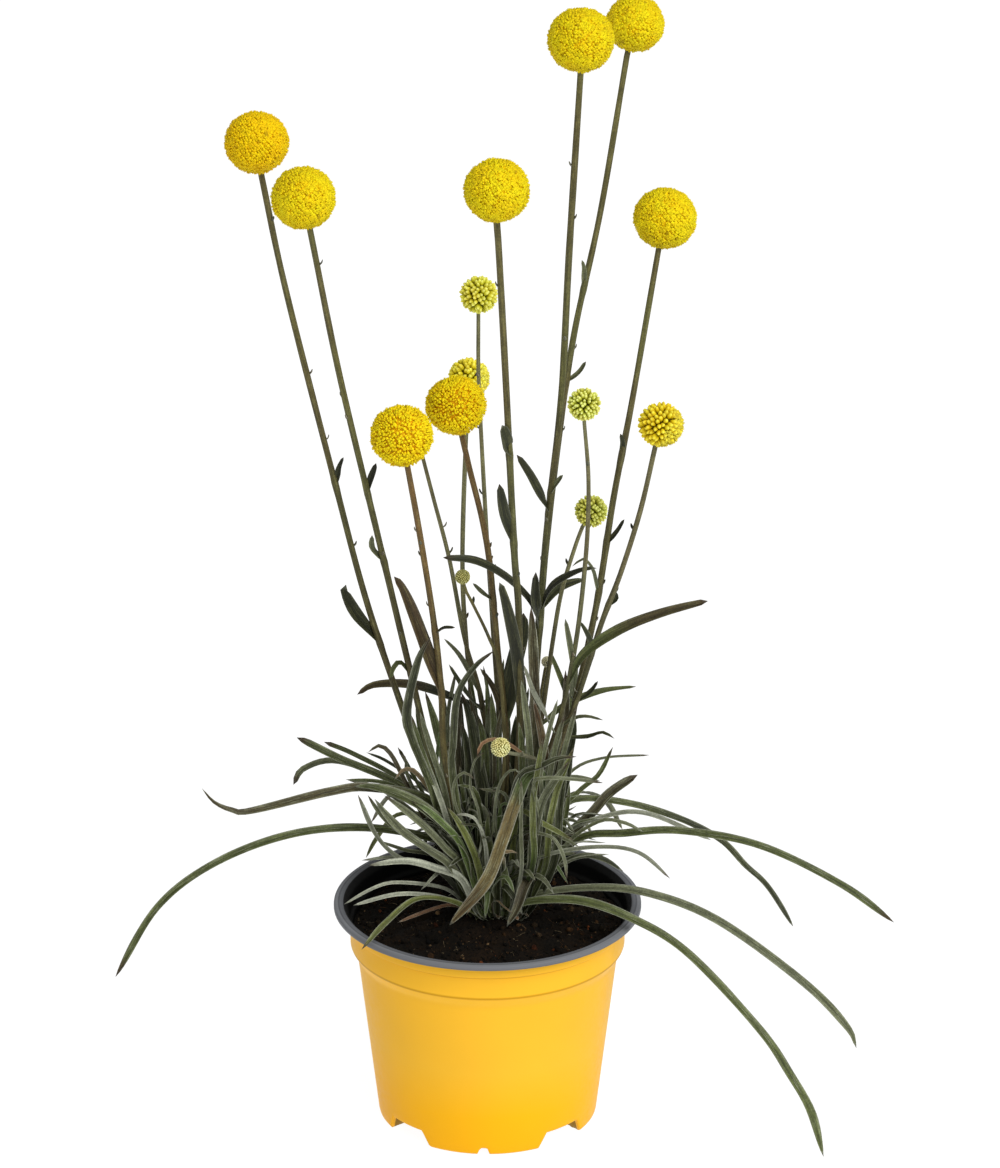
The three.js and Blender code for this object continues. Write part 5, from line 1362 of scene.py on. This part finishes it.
def bud_template(sides):
    """One closed bud: a slim egg with faint ridges."""
    rows = ((0.0, 0.45), (0.3, 0.8), (0.6, 1.0), (0.86, 0.92), (1.08, 0.68), (1.24, 0.34))
    turn = full_turn(sides)
    ridge = 1 + 0.07 * np.cos(3 * turn)
    rings = [np.column_stack([radius * ridge * np.cos(turn), radius * ridge * np.sin(turn),
                              np.full(sides, height)]) for height, radius in rows]
    points = np.vstack([*rings, [[0, 0, BUD_TOP]]])
    quads = ring_quads(len(rows), sides)
    triangles = np.vstack([quads[:, (0, 1, 2)], quads[:, (0, 2, 3)],
                           fan(len(points) - 1, (len(rows) - 1) * sides, sides, True)])
    rise = np.concatenate([np.repeat([height / BUD_TOP for height, _ in rows], sides), [1.0]])
    return points, triangles, rise


FLORET_LENGTH = 1.5              # a floret's height as a share of the room it has
PROUD_SHARE = 0.3                # of the florets stand out of a globe's round outline
FEWEST_FLORETS = 180
USUAL_RADIUS = 13                # of the globe that has a bloom's number of florets
FLATNESS = 0.96                  # a globe's height along its stem, as a share of its width
MOST_SUNLIT = np.array((0.75, -0.3, -0.35))      # the side on which an opening globe's florets are out
BUD_BUNCHES = 46                 # on a closed globe
BUNCHING = 0.24                  # how far its buds lean towards the middle of their bunch
BUD_TOP = 1.3                    # height of the bud template
BUD_RADIUS = 0.435               # as a share of the room a bud has


def globe_axis(stem):
    return unit(stem["head"] - stem["through"][-1])


def squashed(vectors, axis):
    """Shortens vectors along an axis."""
    return vectors - (1 - FLATNESS) * (vectors @ axis)[..., None] * axis


def add_core(shape, stem, radius, tone):
    points, triangles = ball_template(28, 16)
    placed = squashed(points, globe_axis(stem)) * radius + stem["head"]
    shape.add(placed, linear(tone), triangles=triangles)


def add_florets(shape, stem, bloom, dice, chosen=None):
    """Open florets, close together, in tufts. Some stand out of the globe's outline."""
    size = stem["size"]
    count = max(FEWEST_FLORETS, round(bloom["florets"] * (size / USUAL_RADIUS) ** 2))
    axis = globe_axis(stem)
    directions = spiral_directions(count)
    directions = unit(directions + dice.normal(size=(count, 3)) * 0.6 / math.sqrt(count))
    tufts = bloom["tufts"]
    centres = unit(spiral_directions(tufts) + dice.normal(size=(tufts, 3)) * 0.05)
    facing = directions @ centres.T
    own = np.argmax(facing, axis=1)
    away = np.arccos(np.clip(facing.max(axis=1), -1, 1)) * math.sqrt(tufts) / 2
    edge = np.clip(away, 0, 1.2) ** 2
    lean = unit(directions + bloom["splay"] * (directions - centres[own]) * 1.5)
    spacing = math.sqrt(4 * math.pi / count) * size
    scale = spacing * (0.9 + 0.24 * dice.random(count))
    tall = FLORET_LENGTH * scale
    tuft_rise = (0.03 * dice.random(tufts))[own]
    proud = dice.random(count) < PROUD_SHARE
    out = size * (0.975 + tuft_rise - bloom["gap"] * edge + 0.035 * proud) - tall
    places = squashed(directions * out[:, None], axis) + stem["head"]
    points, triangles, rise = floret_template()
    tip, _, shade = (linear(tone) for tone in PETAL_TONES[stem["petal"]])
    bright = tip * (0.9 + 0.18 * dice.random((count, 1)))
    # Painted shade browns the florets at the edges of tufts; a few florets at random, and more on the
    # globe's lower side, are brown.
    browned_and_shaded = bloom["tuft_edge_shade"] * smooth(edge - 0.45) + 0.5 * (dice.random(count) < 0.015)
    low = smooth(-(directions @ axis) * 1.3 - 0.3)
    browned_and_shaded = np.clip(browned_and_shaded + 0.4 * low * dice.random(count), 0, 0.9)
    top = mix(bright, linear(BROWN_AND_SHADE), browned_and_shaded)
    # Each floret darkens towards its foot: partly its own colour, partly painted shade.
    foot = top * (shade / tip)
    tints = foot[:, None] + (top - foot)[:, None] * rise[None, :, None]
    if chosen is not None:
        keep = chosen(directions)
        lean, scale, tall, places, tints, proud = (
            rows[keep] for rows in (lean, scale, tall, places, tints, proud))
    frames = frames_around(lean, 2 * math.pi * dice.random(len(lean)))
    wide = bloom["width"] * scale * (1 - 0.45 * proud)
    shape.scatter((points, triangles), frames, np.column_stack([wide, wide, tall]), places, tints)


def add_buds(shape, stem, bloom, dice):
    """Closed buds packed over the globe, pale at their tips and dark at their feet, partly their own colour
    and partly painted shade between them.
    """
    size, axis, count = stem["size"] + 0.2, globe_axis(stem), bloom["tufts"]
    directions = spiral_directions(count)
    directions = unit(directions + dice.normal(size=(count, 3)) * 0.35 / math.sqrt(count))
    if stem["bloom"] == "bud":
        bunches = spiral_directions(BUD_BUNCHES)
        nearest = bunches[np.argmax(directions @ bunches.T, axis=1)]
        directions = unit(directions + BUNCHING * (nearest - directions))
    points, triangles, rise = bud_template(6 if stem["bloom"] == "young" else 9)
    spacing = math.sqrt(4 * math.pi / count) * size
    across = BUD_RADIUS * spacing * (0.86 + 0.24 * dice.random(count))
    tall = spacing * bloom["bud_length"] * (0.92 + 0.14 * dice.random(count)) / BUD_TOP
    out = size * (1 - 0.05 * dice.random(count)) - BUD_TOP * tall
    places = squashed(directions * out[:, None], axis) + stem["head"]
    lean = unit(directions + dice.normal(size=(count, 3)) * 0.07)
    frames = frames_around(lean, 2 * math.pi * dice.random(count))
    tip, side, foot = (linear(tone) for tone in PETAL_TONES[stem["petal"]])
    # Darker towards each bud's foot: partly its own colour, partly painted shade between the buds.
    tone = mix(mix(foot[None], side[None], smooth(rise / 0.55 - 0.4)), tip[None], smooth((rise - 0.7) / 0.3))
    tints = tone[None] * (0.88 + 0.24 * dice.random((count, 1, 1)))
    shape.scatter((points, triangles), frames, np.column_stack([across, across, tall]), places, tints)


def head_piece(index, stem):
    dice = np.random.default_rng(SEEDS["globes"] + index)
    shape = Shape()
    bloom = BLOOMS[stem["bloom"]]
    add_core(shape, stem, bloom["core_size"] * stem["size"], bloom["core"])
    if "bud_length" in bloom:
        add_buds(shape, stem, bloom, dice)
    else:
        add_florets(shape, stem, bloom, dice)
    if stem["bloom"] == "opening":
        add_florets(shape, stem, bloom, dice,
                    lambda way: way @ MOST_SUNLIT + 0.25 * noise(way * 10, 4, 61) > 0.45)
    return shape.piece(f"globe_{index + 1:02d}", [FLORET])


# ------------------------------------------------------------------ assembly


def build_object():
    stands_for(pot_piece(), "pot")
    stands_for(soil_piece(), "soil")
    basal, owned = placed_leaves()
    stands_for(clump_piece(basal), "leaf_rosette")
    for index, stem in enumerate(STEMS):
        number = f"{index + 1:02d}"
        stands_for(stem_piece(index, stem, owned[index]), f"flower_stem_{number}")
        stands_for(head_piece(index, stem), f"flower_head_{number}")


# ------------------------------------------------------------------ stage, light and camera


def in_scene(name, data):
    placed = bpy.data.objects.new(name, data)
    bpy.context.scene.collection.objects.link(placed)
    return placed


def stage():
    mesh = bpy.data.meshes.new("floor")
    corners = [(x * FLOOR_REACH, y * FLOOR_REACH, 0) for x, y in ((-1, -1), (1, -1), (1, 1), (-1, 1))]
    mesh.from_pydata(corners, [], [(0, 1, 2, 3)])
    paper = Skin("floor_paper", 0.9, 0.0)
    paper.shader.inputs["Base Color"].default_value = (FLOOR_GREY, FLOOR_GREY, FLOOR_GREY, 1)
    paper.shader.inputs["Emission Color"].default_value = (1, 1, 1, 1)
    paper.shader.inputs["Emission Strength"].default_value = FLOOR_GLOW
    mesh.materials.append(paper.material)
    in_scene("floor", mesh)


def lights():
    world = bpy.data.worlds.new("studio")
    world.use_nodes = True
    sky = world.node_tree.nodes["Background"]
    sky.inputs["Color"].default_value = (1, 1, 1, 1)
    sky.inputs["Strength"].default_value = SKY_STRENGTH
    bpy.context.scene.world = world
    sun = bpy.data.lights.new("key", "SUN")
    sun.energy = SUN_STRENGTH
    sun.angle = math.radians(SUN_SPREAD)
    in_scene("key", sun).rotation_euler = [math.radians(turn) for turn in SUN_TURN]


def camera():
    lens = bpy.data.cameras.new("photo_view")
    lens.lens = CAMERA_LENS
    lens.sensor_width = SENSOR_WIDTH
    lens.clip_end = 60
    viewer = in_scene("photo_view", lens)
    viewer.location = CAMERA_PLACE
    viewer.rotation_euler = (math.radians(90 - CAMERA_PITCH), 0, 0)
    bpy.context.scene.camera = viewer
    bpy.context.scene.view_settings.view_transform = "Standard"


camera()
lights()
stage()
build_object()
